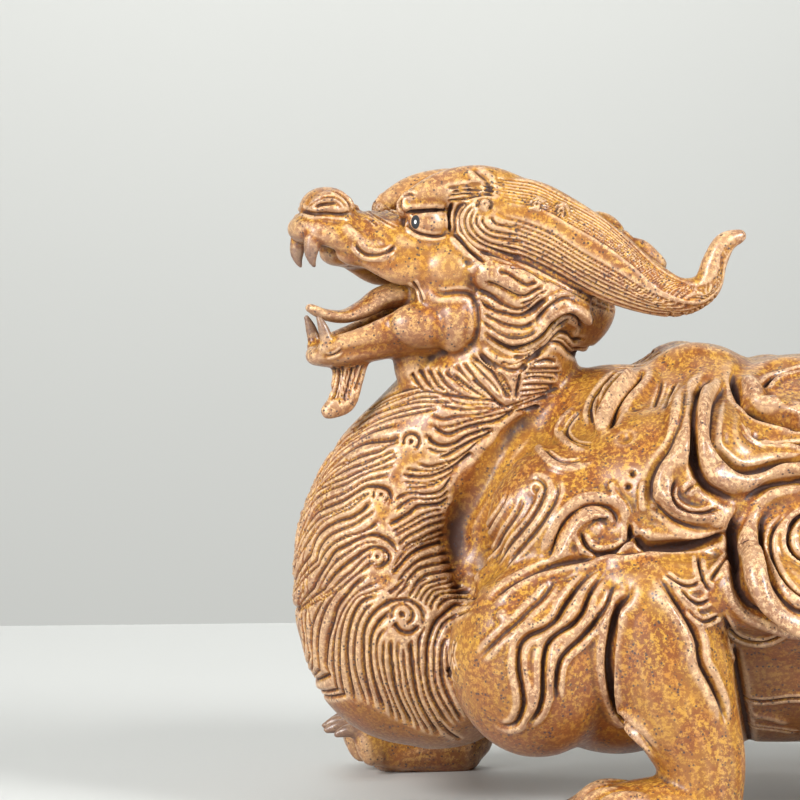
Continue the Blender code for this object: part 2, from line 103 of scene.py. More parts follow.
# The skin is sorted into cells of some shares, and lines on it get a point at every step
CELL = 4.0
STROKE_STEP = 0.35
LINE_STEPS = 8

# A bank: where its crest lies, and the shares of a round and of a soft slope in it. A groove: how
# it falls off, and how much shallower it is where it's narrower. How soon either begins and ends
CREST = 0.42
ROUND_SHARE, SOFT_SHARE = 0.45, 0.55
GROOVE_FALL = 1.6
NARROW_FALL = 0.7
FOLD_ENDS = (5, 0.05)
GROOVE_ENDS = (8, 0.1)
FOLD_ROUNDS = 2

# How much wider and deeper the bold strands are, and how the horns' grooves differ from fine ones
BOLD = 1.45
HORN_DEPTH, HORN_WIDTH = 0.8, 0.7
SHEAF_POINTS = 48
SHEAF_DEPTH = 0.75
SHEAF_HALF = (0.3, 0.75)

# How often the skin is softened to see what stands proud, and how far horn reaches beside a claw
RELIEF_ROUNDS = (12, 60)
HORNY_REACH = 3.0
HORNY_FADE = 0.4

# The carving is drawn on an upright sheet through the middle of the figure, as an eye at its left
# and a little ahead of it sees it: shares behind the middle, and shares up from the ground
SHEET_TURN = math.radians(-8)
SHEET_RIGHT = Vector((math.cos(SHEET_TURN), math.sin(SHEET_TURN), 0))
SHEET_AWAY = Vector((-math.sin(SHEET_TURN), math.cos(SHEET_TURN), 0))
EYE = SHEET_RIGHT * -36.4 - SHEET_AWAY * 560 + Vector((0, 0, 96.8))

# The photograph's pixels on that sheet: the pixel of its origin, and the shares of one pixel
ORIGIN_ACROSS = 720.0
ORIGIN_DOWN = 798.0
PIXEL = 0.1905

# Where the head sits on the neck, in shares, and how far it turns to the figure's left, in degrees
HEAD_AT = (-51.0, -3.0, 96.8)
HEAD_TURN = 12.0

# Where the pupils are painted on the eyes, in the head's frame, how they are drawn out upwards, and
# their reach in metres
PUPIL = (-11.0, -9.5, 12.5)
PUPIL_SHAPE = (1.0, 1.0, 0.62)
PUPIL_REACH = 0.00088

# The fangs, as rolls in the head's frame: the upper ones and the lower ones
FANGS = (
    ((-28.9, -4.8, 9.8, 1.5, 1.7), (-29.4, -4.8, 7.2, 1.25, 1.4), (-29.2, -4.7, 5.4, 0.75, 0.8),
     (-28.8, -4.6, 4.5, 0.4, 0.4)),
    ((-26.2, -4.2, -9.4, 1.2, 1.3), (-27.0, -4.2, -6.9, 0.95, 1.0), (-27.8, -4.1, -5.0, 0.5, 0.5)),
)

# The legs: where the left ankles are and how far out, the steps of the right ones behind them, how
# the right forefoot lifts its toes, and half the width of an ankle
FORE_ANKLE, FORE_OUT, FORE_STEP = -11.2, 40.0, -34.0
HIND_ANKLE, HIND_OUT, HIND_STEP = 50.0, 37.0, 5.0
TOE_LIFT = 3.5
ANKLE = 7.2
TOES = 4
TOE_PITCH = 4.6
TOE_SPLAY = 0.9
TOE_ARC = 1.6
FOOT_LONG = 24.5

# The scrolls of the shell, each a roll laid on it: shares along the sheet, up it, half its width
SCROLLS = (
    ((1, 84.5, 2.0), (-5, 85.5, 3.0), (-10.5, 83.5, 3.0), (-15.5, 79, 2.6), (-20, 74, 2.3),
     (-22, 69.5, 1.5)),
    ((-3, 81, 2), (-7.5, 75, 2.6), (-8, 68, 2.7), (-10, 62.5, 2.6), (-11.5, 58, 2.4),
     (-9, 53.5, 2.3), (-4, 52, 2.2), (2.5, 54, 1.6)),
    ((2, 83, 1.8), (-2, 77, 2.5), (-3, 70, 2.6), (-2, 63.5, 2.6), (2, 60, 2.5), (8.5, 60.5, 2.3),
     (15, 62.5, 2.1), (22, 66.5, 1.8)),
    ((4.5, 77, 1.6), (2, 71, 2.1), (4, 66.5, 2.1), (10, 65.5, 2), (16, 68, 1.8), (21, 72, 1.6)),
    ((8, 73.5, 1.8), (5.5, 78, 2.2), (8, 82, 2.4), (14, 83, 2.5), (20, 80.5, 2.5), (21, 75.5, 2.3),
     (16.5, 73.5, 2), (13, 76, 1.8)),
    ((14, 60, 1.8), (8, 56.5, 2.4), (5.5, 49.5, 2.6), (6.5, 42.5, 2.7), (11, 37.5, 2.6),
     (17, 35.5, 2.5), (24, 37, 2.3), (28, 43, 2)),
    ((19, 57.5, 1.7), (13.5, 54.5, 2), (11, 49, 2.2), (12.5, 43.5, 2.2), (17, 41, 2),
     (22, 43, 1.9), (23, 48, 1.8), (18.5, 50, 1.8)),
    ((-32, 45, 1.6), (-31, 51, 2.1), (-26.5, 55.5, 2.3), (-21, 55.5, 2.3), (-19.5, 51, 2.1),
     (-22.5, 47.8, 1.8), (-25.5, 50.5, 1.6)),
)
# Plainer scrolls behind them: the middle on the sheet, the outer reach and the turn it starts at
REAR_SCROLLS = ((34, 65, 10.5, 150), (41, 46, 10.5, 200), (53, 60, 9, 120), (60, 46, 7.5, 210))
SCROLL_TURNS = 1.35
SCROLL_POINTS = 9
SCROLL_INWARD = 0.75
SCROLL_WIDTH = 0.22
SCROLL_TAPER = 0.05
SHELL_UNDER = 0.5

# The folds of the clay, drawn in pixels of the photograph. Each has its depth, the rise and the
# reach of its left bank and of its right bank, all in shares, and then its points. A bank with no
# rise only slopes, and a depth below 0 makes a ridge
SHELL_FOLDS = (
    # The S that runs down the middle, with the roll at its right
    (2.5, (1.5, 4.2), (1.0, 5.0), ((714, 373), (704, 384), (697, 397), (693, 422), (693, 446),
     (696, 466), (705, 483), (722, 494), (742, 501))),
    (1.8, (0.7, 3.8), (1.1, 4.2), ((728, 384), (715, 399), (711, 422), (712, 442), (722, 458),
     (736, 469), (754, 471), (779, 464), (800, 460), (830, 446), (850, 418))),
    (2.0, (0.9, 4.2), (1.2, 4.2), ((742, 501), (754, 491), (771, 483), (800, 479), (830, 482),
     (856, 496), (868, 520))),
    # The lobe at the top right, with its hollow
    (2.5, (1.9, 6.5), (0.5, 3.0), ((736, 370), (733, 377), (733, 385), (740, 403), (750, 414),
     (766, 419), (787, 424), (800, 428), (822, 422), (831, 404), (822, 382))),
    (1.2, (0.6, 2.0), (0.8, 2.4), ((760, 389), (773, 377), (800, 369), (822, 366))),
    (1.5, (0.2, 1.6), (0.8, 2.0), ((743, 422), (748, 434), (760, 442), (775, 444), (792, 442),
     (812, 447))),
    # The great roll at the right
    (3.0, (2.1, 6.8), (0.8, 3.6), ((742, 501), (732, 524), (731, 544), (734, 564), (738, 587),
     (750, 607), (771, 620), (800, 632), (830, 631), (858, 612), (872, 580))),
    (2.0, (0.8, 2.8), (1.3, 4.6), ((771, 507), (762, 520), (760, 540), (762, 560), (771, 581),
     (783, 601), (800, 611), (825, 609), (845, 592))),
    (1.3, (0.6, 2.0), (0.6, 1.5), ((785, 512), (773, 528), (770, 544), (773, 564), (784, 583),
     (800, 597), (822, 592))),
    (1.8, (0.5, 2.0), (0.6, 1.8), ((814, 512), (798, 516), (789, 530), (789, 546), (799, 558),
     (813, 554))),
    # The roll at the left of the S
    (1.3, (1.3, 4.4), (0.2, 3.6), ((687, 379), (685, 392), (681, 420), (672, 442), (656, 466),
     (650, 488), (660, 508), (688, 525), (718, 526), (738, 516))),
    (1.5, (0.5, 1.6), (0.7, 2.0), ((676, 478), (671, 490), (672, 502), (683, 511), (701, 513),
     (719, 507))),
    (0.8, (0.4, 1.4), (0.4, 1.4), ((684, 494), (690, 487), (699, 483))),
    (0.7, (0.4, 1.4), (0.2, 1.6), ((676, 380), (671, 394), (664, 410))),
    (0.6, (0.3, 1.4), (0.2, 1.4), ((662, 378), (660, 390), (654, 408))),
    # The tongue that comes over the front
    (2.4, (0.3, 4.6), (1.8, 3.8), ((643, 368), (636, 377), (622, 393), (613, 413), (607, 431))),
    (1.1, (0.9, 2.4), (0.3, 2.2), ((618, 370), (606, 382), (596, 396), (591, 410), (593, 425))),
    (0.6, (0.4, 1.3), (0.4, 1.3), ((606, 384), (600, 396), (598, 410), (600, 422))),
    (-1.0, (0, 1.5), (0, 1.5), ((578, 404), (566, 416), (559, 430), (563, 441), (575, 449),
     (592, 452))),
    (0.8, (0.2, 1.3), (0.3, 1.3), ((583, 409), (573, 419), (567, 430), (570, 438), (580, 443),
     (594, 445))),
    (-0.8, (0, 1.5), (0, 1.5), ((538, 447), (544, 456), (555, 466), (569, 469), (584, 466),
     (600, 460))),
    (0.7, (0.3, 1.3), (0.2, 1.3), ((545, 450), (556, 459), (570, 462), (584, 459))),
    (-0.7, (0, 1.2), (0, 1.2), ((611, 479), (615, 494), (624, 506), (627, 520))),
    (-0.7, (0, 1.2), (0, 1.2), ((645, 480), (642, 494), (643, 514))),
    (-0.6, (0, 1.1), (0, 1.1), ((653, 491), (655, 508))),
    # The small scroll low at the front
    (2.1, (0.6, 3.8), (1.3, 4.4), ((545, 564), (555, 542), (566, 521), (580, 508), (591, 503),
     (604, 505), (614, 512), (616, 522), (608, 525))),
    (1.5, (0.5, 1.8), (0.9, 2.2), ((580, 528), (583, 538), (589, 548), (601, 553), (615, 550),
     (627, 542), (630, 530), (627, 520))),
    (2.4, (1.2, 5.0), (0.5, 3.6), ((629, 522), (634, 536), (646, 546), (664, 547), (693, 544),
     (718, 536), (734, 529))),
    # The hollow that falls from the scroll to the chest
    (0.9, (0, 4.0), (0, 4.0), ((540, 486), (524, 508), (505, 532), (482, 556))),
    (0.7, (0.4, 2.2), (0.5, 1.8), ((527, 483), (537, 479), (545, 486), (541, 502), (527, 524),
     (507, 546), (488, 563))),
    (0.5, (0.4, 1.8), (0.3, 1.6), ((556, 478), (558, 494), (548, 516), (527, 543), (500, 570))),
    (0.5, (0.4, 1.8), (0.3, 1.6), ((523, 493), (517, 510), (504, 529), (487, 546), (474, 558))),
    (0.5, (0.4, 1.8), (0.3, 1.6), ((510, 489), (502, 507), (490, 524), (476, 538))),
    (1.3, (0.3, 3.0), (0.7, 3.2), ((486, 606), (501, 592), (520, 579), (548, 567), (583, 559),
     (620, 553), (664, 551))),
    # The valley between the shell and the neck
    (2.0, (0, 9.0), (0, 7.0), ((516, 462), (492, 486), (478, 512), (473, 540), (480, 566),
     (496, 586))),
    (1.4, (0, 3.0), (0, 3.0), ((560, 381), (548, 395), (530, 415), (508, 441), (486, 470),
     (468, 500), (455, 530), (456, 560), (466, 588), (482, 612))),
)
# Behind the photograph's edge, plainer curls: the middle, the reach and the turn they start at, and
# the depth and the banks that they have in common
REAR_CURLS = ((898, 457, 50, 30), (935, 557, 50, -20), (998, 483, 42, 60), (1035, 557, 34, -30))
REAR_CURL_FOLD = (1.5, (0.5, 3), (0.9, 3))
CURL_TURNS = 1.5
CURL_POINTS = 28
CURL_INWARD = 0.88
LIMB_FOLDS = (
    # The flame over the arm
    (0.8, (0.5, 2.8), (0.4, 2.6), ((558, 576), (544, 597), (531, 609), (519, 621), (503, 635),
     (489, 649), (478, 661))),
    (1.5, (0.7, 2.6), (0.6, 2.8), ((601, 566), (580, 585), (566, 604), (557, 620), (546, 629),
     (530, 636), (521, 646), (519, 661), (520, 675), (523, 690), (524, 708), (517, 724),
     (504, 727), (494, 720))),
    (1.5, (0.7, 2.4), (0.7, 2.6), ((607, 569), (592, 590), (583, 612), (573, 624), (560, 632),
     (550, 641), (545, 656), (544, 674), (544, 692), (540, 710), (530, 722), (521, 728))),
    (1.3, (0.6, 2.3), (0.6, 2.4), ((616, 580), (607, 606), (594, 624), (580, 640), (567, 652),
     (560, 663), (557, 677), (556, 690), (559, 704))),
    (1.8, (1.0, 4.0), (1.1, 3.2), ((631, 579), (628, 595), (617, 609), (612, 631), (609, 651),
     (609, 672), (614, 697), (626, 718), (640, 735), (660, 758))),
    # The foreleg, with its muscle and its bones
    (1.6, (0.6, 3.0), (1.0, 4.2), ((658, 574), (673, 595), (688, 618), (698, 639), (702, 663),
     (713, 684), (722, 704), (726, 727))),
    (1.2, (0, 1.8), (0.5, 2.6), ((722, 612), (730, 642), (737, 676), (743, 712), (749, 746),
     (751, 768))),
    # The tufts at the elbow
    (1.0, (0.5, 1.6), (0.5, 1.6), ((698, 556), (700, 568), (705, 583), (712, 592))),
    (1.0, (0.6, 1.6), (0.4, 1.6), ((708, 584), (717, 570), (732, 554))),
    (0.9, (0.5, 1.5), (0.5, 1.5), ((664, 572), (678, 583), (692, 585), (704, 578))),
    (0.9, (0.5, 1.5), (0.5, 1.5), ((678, 588), (690, 600), (700, 603), (712, 598))),
    (0.9, (0.5, 1.5), (0.5, 1.5), ((686, 606), (696, 618), (706, 621), (721, 614))),
    (0.9, (0.5, 1.6), (0.5, 1.8), ((720, 609), (736, 634), (762, 641), (785, 632))),
    # The flank
    (0.8, (0.4, 1.6), (0.4, 1.6), ((741, 698), (764, 700), (796, 697), (830, 700))),
    (-0.6, (0, 1.6), (0, 1.6), ((744, 713), (769, 716), (790, 723))),
    (0.7, (0.4, 1.6), (0.4, 1.6), ((745, 725), (772, 727), (800, 731))),
    (0.7, (0.4, 1.2), (0.4, 1.2), ((449, 640), (447, 656), (450, 674), (458, 690))),
    (0.6, (0.3, 1.2), (0.3, 1.2), ((456, 640), (454, 656), (457, 672))),
)
# The features of the head, drawn the same way
HEAD_FOLDS = (
    (0.8, (0.3, 1.5), (0.4, 1.8), ((301, 210), (313, 213), (326, 213), (340, 214), (352, 212))),
    (0.4, (0.2, 0.9), (0.3, 0.9), ((308, 210), (312, 204), (320, 199), (330, 197), (340, 200),
     (345, 206), (347, 213))),
    (0.6, (0.5, 1.2), (0.2, 1.2), ((330, 190), (340, 194), (348, 202), (351, 211))),
    (1.5, (0.35, 1.1), (0.35, 1.1), ((314, 207), (324, 204), (338, 203))),
    (0.5, (0.2, 0.9), (0.2, 0.9), ((366, 217), (371, 220), (378, 226))),
    (0.5, (0.2, 0.9), (0.2, 0.9), ((382, 208), (390, 211), (399, 215))),
    (0.4, (0.2, 0.9), (0.2, 0.9), ((367, 211), (380, 219), (393, 226), (407, 231))),
    (1.0, (0.5, 2.2), (0.2, 1.6), ((403, 216), (410, 212), (420, 211), (434, 210), (448, 208))),
    (0.6, (0.2, 1.4), (0.5, 1.3), ((408, 218), (410, 227), (418, 233), (430, 236), (441, 236),
     (448, 232))),
    (1.2, (0.4, 1.6), (0.2, 1.2), ((452, 202), (449, 212), (449, 222), (450, 232))),
    (0.7, (0.3, 1.2), (0.4, 1.4), ((407, 214), (401, 207), (402, 198), (409, 194), (417, 197))),
    (0.35, (0.15, 0.7), (0.15, 0.7), ((448, 188), (465, 184), (485, 183), (503, 186))),
    (0.35, (0.15, 0.7), (0.15, 0.7), ((446, 194), (465, 190), (485, 189), (505, 192))),
    (0.35, (0.15, 0.7), (0.15, 0.7), ((452, 200), (470, 196), (490, 195))),
    (1.1, (0.3, 1.8), (0.5, 2.2), ((452, 232), (460, 239), (471, 251), (486, 263))),
    (-0.6, (0.0, 2.2), (0.0, 2.2), ((341, 218), (352, 232), (374, 249), (394, 262))),
    (0.8, (0.4, 1.5), (0.4, 1.4), ((354, 240), (358, 248), (366, 254), (378, 255), (389, 251),
     (397, 244))),
    (0.7, (0.3, 1.2), (0.3, 1.4), ((412, 280), (419, 290), (423, 302))),
    (0.4, (0.3, 2.0), (0.4, 2.8), ((430, 286), (441, 293), (457, 292), (470, 294), (477, 304),
     (479, 318), (478, 332), (474, 346))),
    (0.5, (0.3, 1.0), (0.3, 1.0), ((326, 356), (334, 354), (342, 349))),
    (0.8, (0.5, 2.4), (0.2, 1.8), ((477, 349), (488, 360), (502, 367), (516, 370), (526, 364),
     (535, 356), (546, 350))),
    (1.6, (1.3, 3.0), (0.3, 1.8), ((481, 329), (493, 339), (508, 347), (520, 347), (534, 342),
     (546, 332), (555, 320), (564, 315), (573, 316), (580, 323), (582, 332))),
    (0.6, (0.3, 2.6), (0.5, 2.6), ((472, 168), (480, 175), (487, 182), (489, 190), (484, 197))),
    (0.5, (0.5, 1.6), (0.5, 1.6), ((535, 322), (541, 313), (551, 304), (561, 298), (574, 297))),
)
# Round hollows and warts: the middle in pixels, the reach and the rise in shares, below 0 if sunk
SHELL_DIMPLES = (
    (636, 409, 1.9, -0.7), (625, 437, 2.0, -0.7), (632, 473, 0.9, -1.1), (628, 486, 0.9, -1.1),
    (756, 437, 2.0, -0.9), (538, 487, 1.5, -0.7), (596, 529, 2.2, 0.9), (503, 616, 2.0, 0.7),
    (775, 405, 3.4, 1.0), (795, 524, 2.2, -1.0),
)
HEAD_DIMPLES = (
    (467, 262, 1.4, -0.4), (472, 269, 1.4, 0.6), (485, 204, 1.9, 1.3), (537, 204, 2.0, 1.5),
    (562, 208, 1.8, 1.4),
)

# The name of the clay while it is worked, and the cuts that part it at the end: the mass that is
# cut, the part beyond the plane, the part on this side, a point of the plane and the way beyond
FIGURE = "working_clay"
CUTS = (
    ("figure", "head_and_horns", "trunk", (-80, 0, 72), (-14.3, 0, 57.1)),
    ("head_and_horns", "horns", "head", (-24, 0, 90), (1, 0, 0)),
    ("trunk", "neck_and_chest", "back", (-30, 0, 81), (-51, 0, 20)),
    ("neck_and_chest", "neck", "chest", (0, 0, 45), (0, 0, 1)),
    ("back", "shell", "limbs", (0, 0, 46), (0, 0, 1)),
    ("shell", "shell_rear", "shell_front", (12, 0, 60), (1, 0, 0)),
    ("limbs", "hindquarters", "forelegs", (6, 0, 30), (1, 0, 0)),
)

# The stage, in metres: each part with its roughness and two corners, how its edges are rounded, and
# each light's place, size, power and aim
STAGE_PARTS = (
    ("floor", 0.6, (-2.5, -2.5, -0.02), (2.5, 0.31, 0.0)),
    ("wall", 0.9, (-6, 1.6, -1.5), (6, 1.62, 4.5)),
)
EDGE, EDGE_STEPS = 0.006, 4
SMOOTH_ANGLE = math.radians(30)
STAGE_CLOUD = (0.25, 1.0)
STAGE_SHADE = 0.97
LIGHTS = (
    ("key_light", (-0.74, -0.62, 0.46), 0.50, 13.4, (0, 0, 0.06)),
    ("side_light", (0.66, -0.55, 0.50), 0.34, 10.8, (0, 0, 0.06)),
    ("top_light", (0.02, 0.10, 0.9), 0.45, 0.7, (0, 0, 0.05)),
    ("wall_light", (0, 0.75, 1.3), 1.0, 15.5, (0, 1.6, 0.7)),
)
ROOM_LIGHT = 0.25
ROOM_COLOUR = (0.94, 0.95, 0.93, 1.0)
SENSOR = 36
CLIP_START = 0.01
LENS = 132.3
LOOK_ASIDE = -2.51
LOOK_UP = -2.14

# Clouds in the clay: the grain in metres with the noise's detail and roughness, and the values
# between which each shows
PATCHES = ((0.012, 3.0, 0.6), (0.38, 0.60))
WARMTH = ((0.0034, 3.0, 0.6), (0.40, 0.62))
MOTTLE = ((0.00085, 5.0, 0.78), (0.43, 0.525))
SPECK_CHANCE = ((0.0022, 2.0), (0.44, 0.58))
SPECK_SIZE = 0.0008
SPECK_EDGE = (0.20, 0.36)
# How far the skin stands proud near and farther around, or is sunk, or faces down, where the
# colours that follow it begin and where they are full. The pale colour where it stands proud is
# partly wear and partly a painted highlight; the dark where it is sunk and the red where it faces
# down are painted shade
RIDGE = (0.005, 0.11)
RIM = (0.0, 0.60)
ROUND_RIM = (0.15, 0.50)
HOLLOW = (0.0, 0.55)
FINE_CREASE_SHADE, BROAD_CREASE_SHADE = (0.03, 0.19), (0.10, 1.0)
UNDER_SHADE = (-0.25, 0.80)
# How strongly the colours, the painted highlights and the painted shade are laid on
GOLD_SHARES = (0.35, 0.5)
RUBBED_HIGHLIGHT_SHARES = (0.20, 0.46)
RUST_SHARES = (0.60, 0.30, 0.04)
UNDER_SHADE_SHARE = 0.65
RIDGE_HIGHLIGHT_SHARES = (0.34, 0.22)
CREASE_SHADE_SHARES = (0.82, 0.42)
SPECK_SHARE = 0.85
HORNY_SHARE = 0.75
# The pupil's soft edge and its glint, as shares of its reach
PUPIL_EDGE = 0.9
GLINT_EDGE = (0.24, 0.32)
# The gloss: the least roughness, and what the sunk, the mottled and the painted clay add to it
LEAST_ROUGH, SUNK_ROUGH, MOTTLE_ROUGH, PAINTED_ROUGH = 0.28, 0.38, 0.08, 0.5
SPECULAR = 0.6
# The grit in the skin: its fine and its coarse grain with the share of each, and how high it stands
FINE_GRIT, COARSE_GRIT = (0.0005, 3.0, 0.6), (0.0025, 2.0)
GRIT_SHARES = (0.7, 0.6)
BUMP_STRENGTH, BUMP_HEIGHT = 0.22, 0.00012

# The grooves between the strands of hair, in pixels of the photograph: first the deep and wide
NECK_BOLD = (
    ((328, 467), (339, 457), (349, 449), (363, 442), (377, 440), (391, 439), (401, 435)),
    ((308, 520), (317, 510), (329, 505), (343, 499), (354, 492), (366, 486), (377, 486),
     (388, 490), (391, 499), (388, 506)),
    ((308, 555), (314, 538), (322, 529), (336, 521), (350, 517), (363, 509), (371, 500)),
    ((311, 589), (318, 575), (325, 564), (333, 552), (346, 545), (360, 538), (374, 535),
     (388, 540), (396, 548), (396, 556)),
    ((322, 590), (332, 576), (343, 566), (354, 558), (366, 550), (376, 547), (387, 552),
     (389, 560), (381, 566), (371, 566)),
    ((327, 677), (324, 664), (326, 642), (331, 625), (336, 608), (346, 595), (356, 583),
     (368, 576)),
    ((354, 704), (349, 685), (346, 667), (345, 650), (347, 633), (352, 616), (359, 604),
     (369, 598), (380, 597)),
    ((374, 710), (367, 692), (363, 671), (362, 650), (363, 632), (369, 619), (380, 608),
     (394, 601), (408, 600), (419, 606), (424, 616), (422, 626)),
    ((385, 715), (377, 696), (371, 675), (369, 656), (370, 639), (376, 626), (385, 616),
     (395, 609)),
    ((393, 623), (401, 632), (411, 633), (420, 626)),
    ((438, 457), (447, 456), (458, 450), (472, 442), (486, 436), (496, 430)),
    ((425, 433), (433, 442), (443, 446), (456, 444), (467, 437), (482, 432), (496, 428)),
    ((430, 423), (439, 430), (449, 434), (463, 429), (479, 425), (498, 421), (520, 408)),
    ((402, 474), (416, 477), (430, 477), (441, 474), (454, 468), (464, 460), (475, 450)),
    ((388, 526), (401, 519), (411, 513), (419, 507), (430, 506), (443, 504), (449, 496)),
    ((391, 575), (400, 566), (409, 556), (420, 549), (432, 544), (446, 541)),
    ((453, 731), (443, 719), (433, 702), (428, 684), (427, 664), (428, 646), (432, 632),
     (437, 622), (446, 613), (458, 604), (470, 604)),
    ((412, 729), (402, 710), (395, 691), (392, 671), (390, 653), (391, 640)),
    ((439, 738), (428, 723), (418, 703), (414, 684), (412, 664), (411, 646), (413, 638)),
)
NECK_FINE = (
    ((336, 449), (352, 436), (371, 425), (388, 418), (405, 414), (425, 410), (439, 408)),
    ((340, 444), (356, 431), (374, 420), (394, 412), (415, 407), (438, 404)),
    ((343, 438), (358, 425), (374, 414), (394, 406), (415, 401), (440, 401), (463, 404)),
    ((348, 432), (364, 419), (380, 410), (400, 402), (420, 396), (445, 397)),
    ((353, 425), (368, 413), (384, 404), (402, 396), (422, 390), (440, 392), (456, 396)),
    ((360, 418), (374, 407), (390, 398), (408, 392), (424, 388)),
    ((367, 411), (378, 402), (391, 394), (405, 389), (422, 385)),
    ((299, 548), (303, 530), (311, 515), (323, 502)),
    ((302, 538), (306, 522), (315, 507), (328, 496)),
    ((298, 577), (301, 557), (307, 539), (315, 525)),
    ((300, 592), (303, 571), (308, 553), (314, 540)),
    ((304, 520), (310, 505), (319, 493), (332, 484)),
    ((308, 505), (314, 492), (324, 481), (338, 472)),
    ((312, 493), (320, 480), (332, 468), (346, 460)),
    ((317, 479), (327, 466), (340, 455), (354, 447)),
    ((324, 464), (335, 451), (348, 441), (362, 433)),
    ((331, 450), (344, 437), (357, 428), (371, 421)),
    ((298, 602), (297, 582), (299, 565)),
    ((303, 642), (300, 620), (300, 600), (303, 583)),
    ((308, 657), (304, 634), (304, 612), (307, 593)),
    ((324, 467), (336, 454), (346, 446), (360, 437), (374, 430), (388, 426), (398, 424)),
    ((343, 464), (357, 457), (369, 453), (380, 450), (388, 444), (401, 440)),
    ((322, 482), (338, 473), (350, 467), (363, 463), (374, 458), (387, 453), (396, 450)),
    ((308, 496), (318, 489), (332, 482), (346, 477), (360, 470), (377, 464), (391, 457),
     (400, 453)),
    ((305, 509), (315, 498), (329, 489), (343, 484), (356, 477), (369, 471), (385, 467),
     (397, 463)),
    ((307, 519), (314, 509), (325, 500), (338, 495), (350, 489), (363, 481), (377, 477),
     (391, 474)),
    ((308, 529), (317, 519), (329, 513), (343, 507), (354, 500), (364, 495), (373, 492)),
    ((308, 540), (317, 526), (325, 519), (336, 513), (350, 507), (360, 499), (369, 495)),
    ((315, 561), (319, 547), (328, 536), (342, 529), (354, 524), (366, 516), (376, 510)),
    ((317, 566), (322, 555), (331, 545), (343, 538), (357, 534), (369, 529), (380, 520)),
    ((317, 590), (326, 573), (336, 561), (349, 552), (360, 545), (373, 542), (383, 545)),
    ((331, 590), (342, 579), (352, 571), (360, 562), (369, 555), (376, 552)),
    ((339, 590), (350, 580), (360, 572), (369, 565), (376, 561)),
    ((306, 567), (305, 590), (307, 615), (312, 640)),
    ((311, 667), (310, 646), (311, 626), (318, 608), (326, 594)),
    ((318, 672), (316, 648), (318, 628), (324, 610), (334, 594), (346, 582)),
    ((336, 692), (332, 670), (332, 647), (335, 628), (342, 611), (352, 597), (366, 588),
     (381, 583)),
    ((343, 697), (339, 678), (338, 659), (339, 639), (343, 621), (349, 608), (357, 598),
     (369, 594), (385, 589)),
    ((366, 706), (359, 688), (354, 670), (353, 650), (356, 629), (362, 615), (369, 607),
     (378, 602)),
    ((379, 704), (374, 684), (371, 668)),
    ((394, 722), (387, 700), (380, 680), (376, 660), (376, 645), (380, 635), (388, 628)),
    ((402, 725), (394, 706), (387, 687), (383, 667), (383, 650), (384, 639)),
    ((420, 733), (411, 715), (402, 695), (399, 675), (397, 656), (398, 642)),
    ((430, 736), (419, 720), (411, 701), (406, 681), (404, 663), (404, 647)),
    ((446, 736), (436, 722), (426, 702), (421, 682), (419, 664), (419, 647), (422, 635),
     (428, 625)),
    ((458, 727), (450, 715), (440, 698), (435, 681), (434, 664), (435, 647), (439, 633),
     (446, 622), (458, 615), (474, 609)),
    ((463, 723), (454, 709), (446, 692), (442, 678), (441, 661), (443, 646), (449, 637)),
    ((451, 684), (450, 667), (453, 650), (459, 636)),
    ((460, 742), (448, 734), (438, 722)),
    ((444, 384), (450, 398), (466, 404), (482, 404), (502, 405)),
    ((440, 404), (456, 408), (467, 409), (486, 408), (503, 409)),
    ((430, 413), (443, 419), (458, 416), (477, 415), (493, 411), (520, 403), (540, 395)),
    ((434, 422), (443, 427), (456, 425), (472, 420), (493, 416), (512, 411), (532, 402)),
    ((426, 447), (440, 452), (455, 449), (468, 443), (484, 436)),
    ((416, 464), (430, 467), (444, 464), (456, 460), (467, 453), (478, 443), (488, 437)),
    ((404, 469), (420, 471), (436, 471), (448, 466), (460, 458), (470, 449)),
    ((402, 481), (418, 483), (432, 482), (445, 478), (456, 470), (465, 460)),
    ((404, 488), (419, 488), (430, 486), (441, 482), (451, 475), (460, 467)),
    ((392, 502), (402, 496), (413, 493), (427, 495), (441, 492), (449, 482), (454, 474)),
    ((394, 512), (404, 504), (414, 499), (427, 500), (442, 498), (450, 489)),
    ((391, 533), (402, 527), (413, 521), (422, 516), (433, 512), (444, 510)),
    ((392, 537), (404, 531), (416, 525), (426, 520), (437, 517), (446, 515)),
    ((397, 547), (408, 537), (420, 531), (430, 526), (440, 523), (446, 521)),
    ((401, 554), (409, 545), (420, 540), (431, 534), (446, 529)),
    ((391, 572), (399, 560), (407, 551), (416, 545), (426, 541), (438, 537), (447, 534)),
    ((397, 585), (406, 572), (417, 562), (427, 557), (439, 554), (449, 552)),
    ((402, 589), (411, 577), (419, 569), (430, 565), (440, 563), (452, 561)),
    ((411, 591), (418, 582), (425, 576), (434, 573), (446, 571), (457, 569)),
    ((388, 595), (397, 588), (406, 578)),
    ((395, 599), (402, 591), (411, 581)),
    ((408, 601), (413, 591), (420, 582), (430, 577)),
    ((413, 604), (418, 594), (424, 585), (434, 581), (450, 577)),
    ((419, 606), (423, 596), (430, 588), (442, 584), (458, 580)),
    ((425, 608), (429, 598), (436, 590), (450, 588), (464, 586)),
    ((430, 612), (434, 601), (442, 594), (456, 592), (472, 592)),
    ((436, 616), (441, 605), (449, 599), (462, 597), (478, 598)),
)
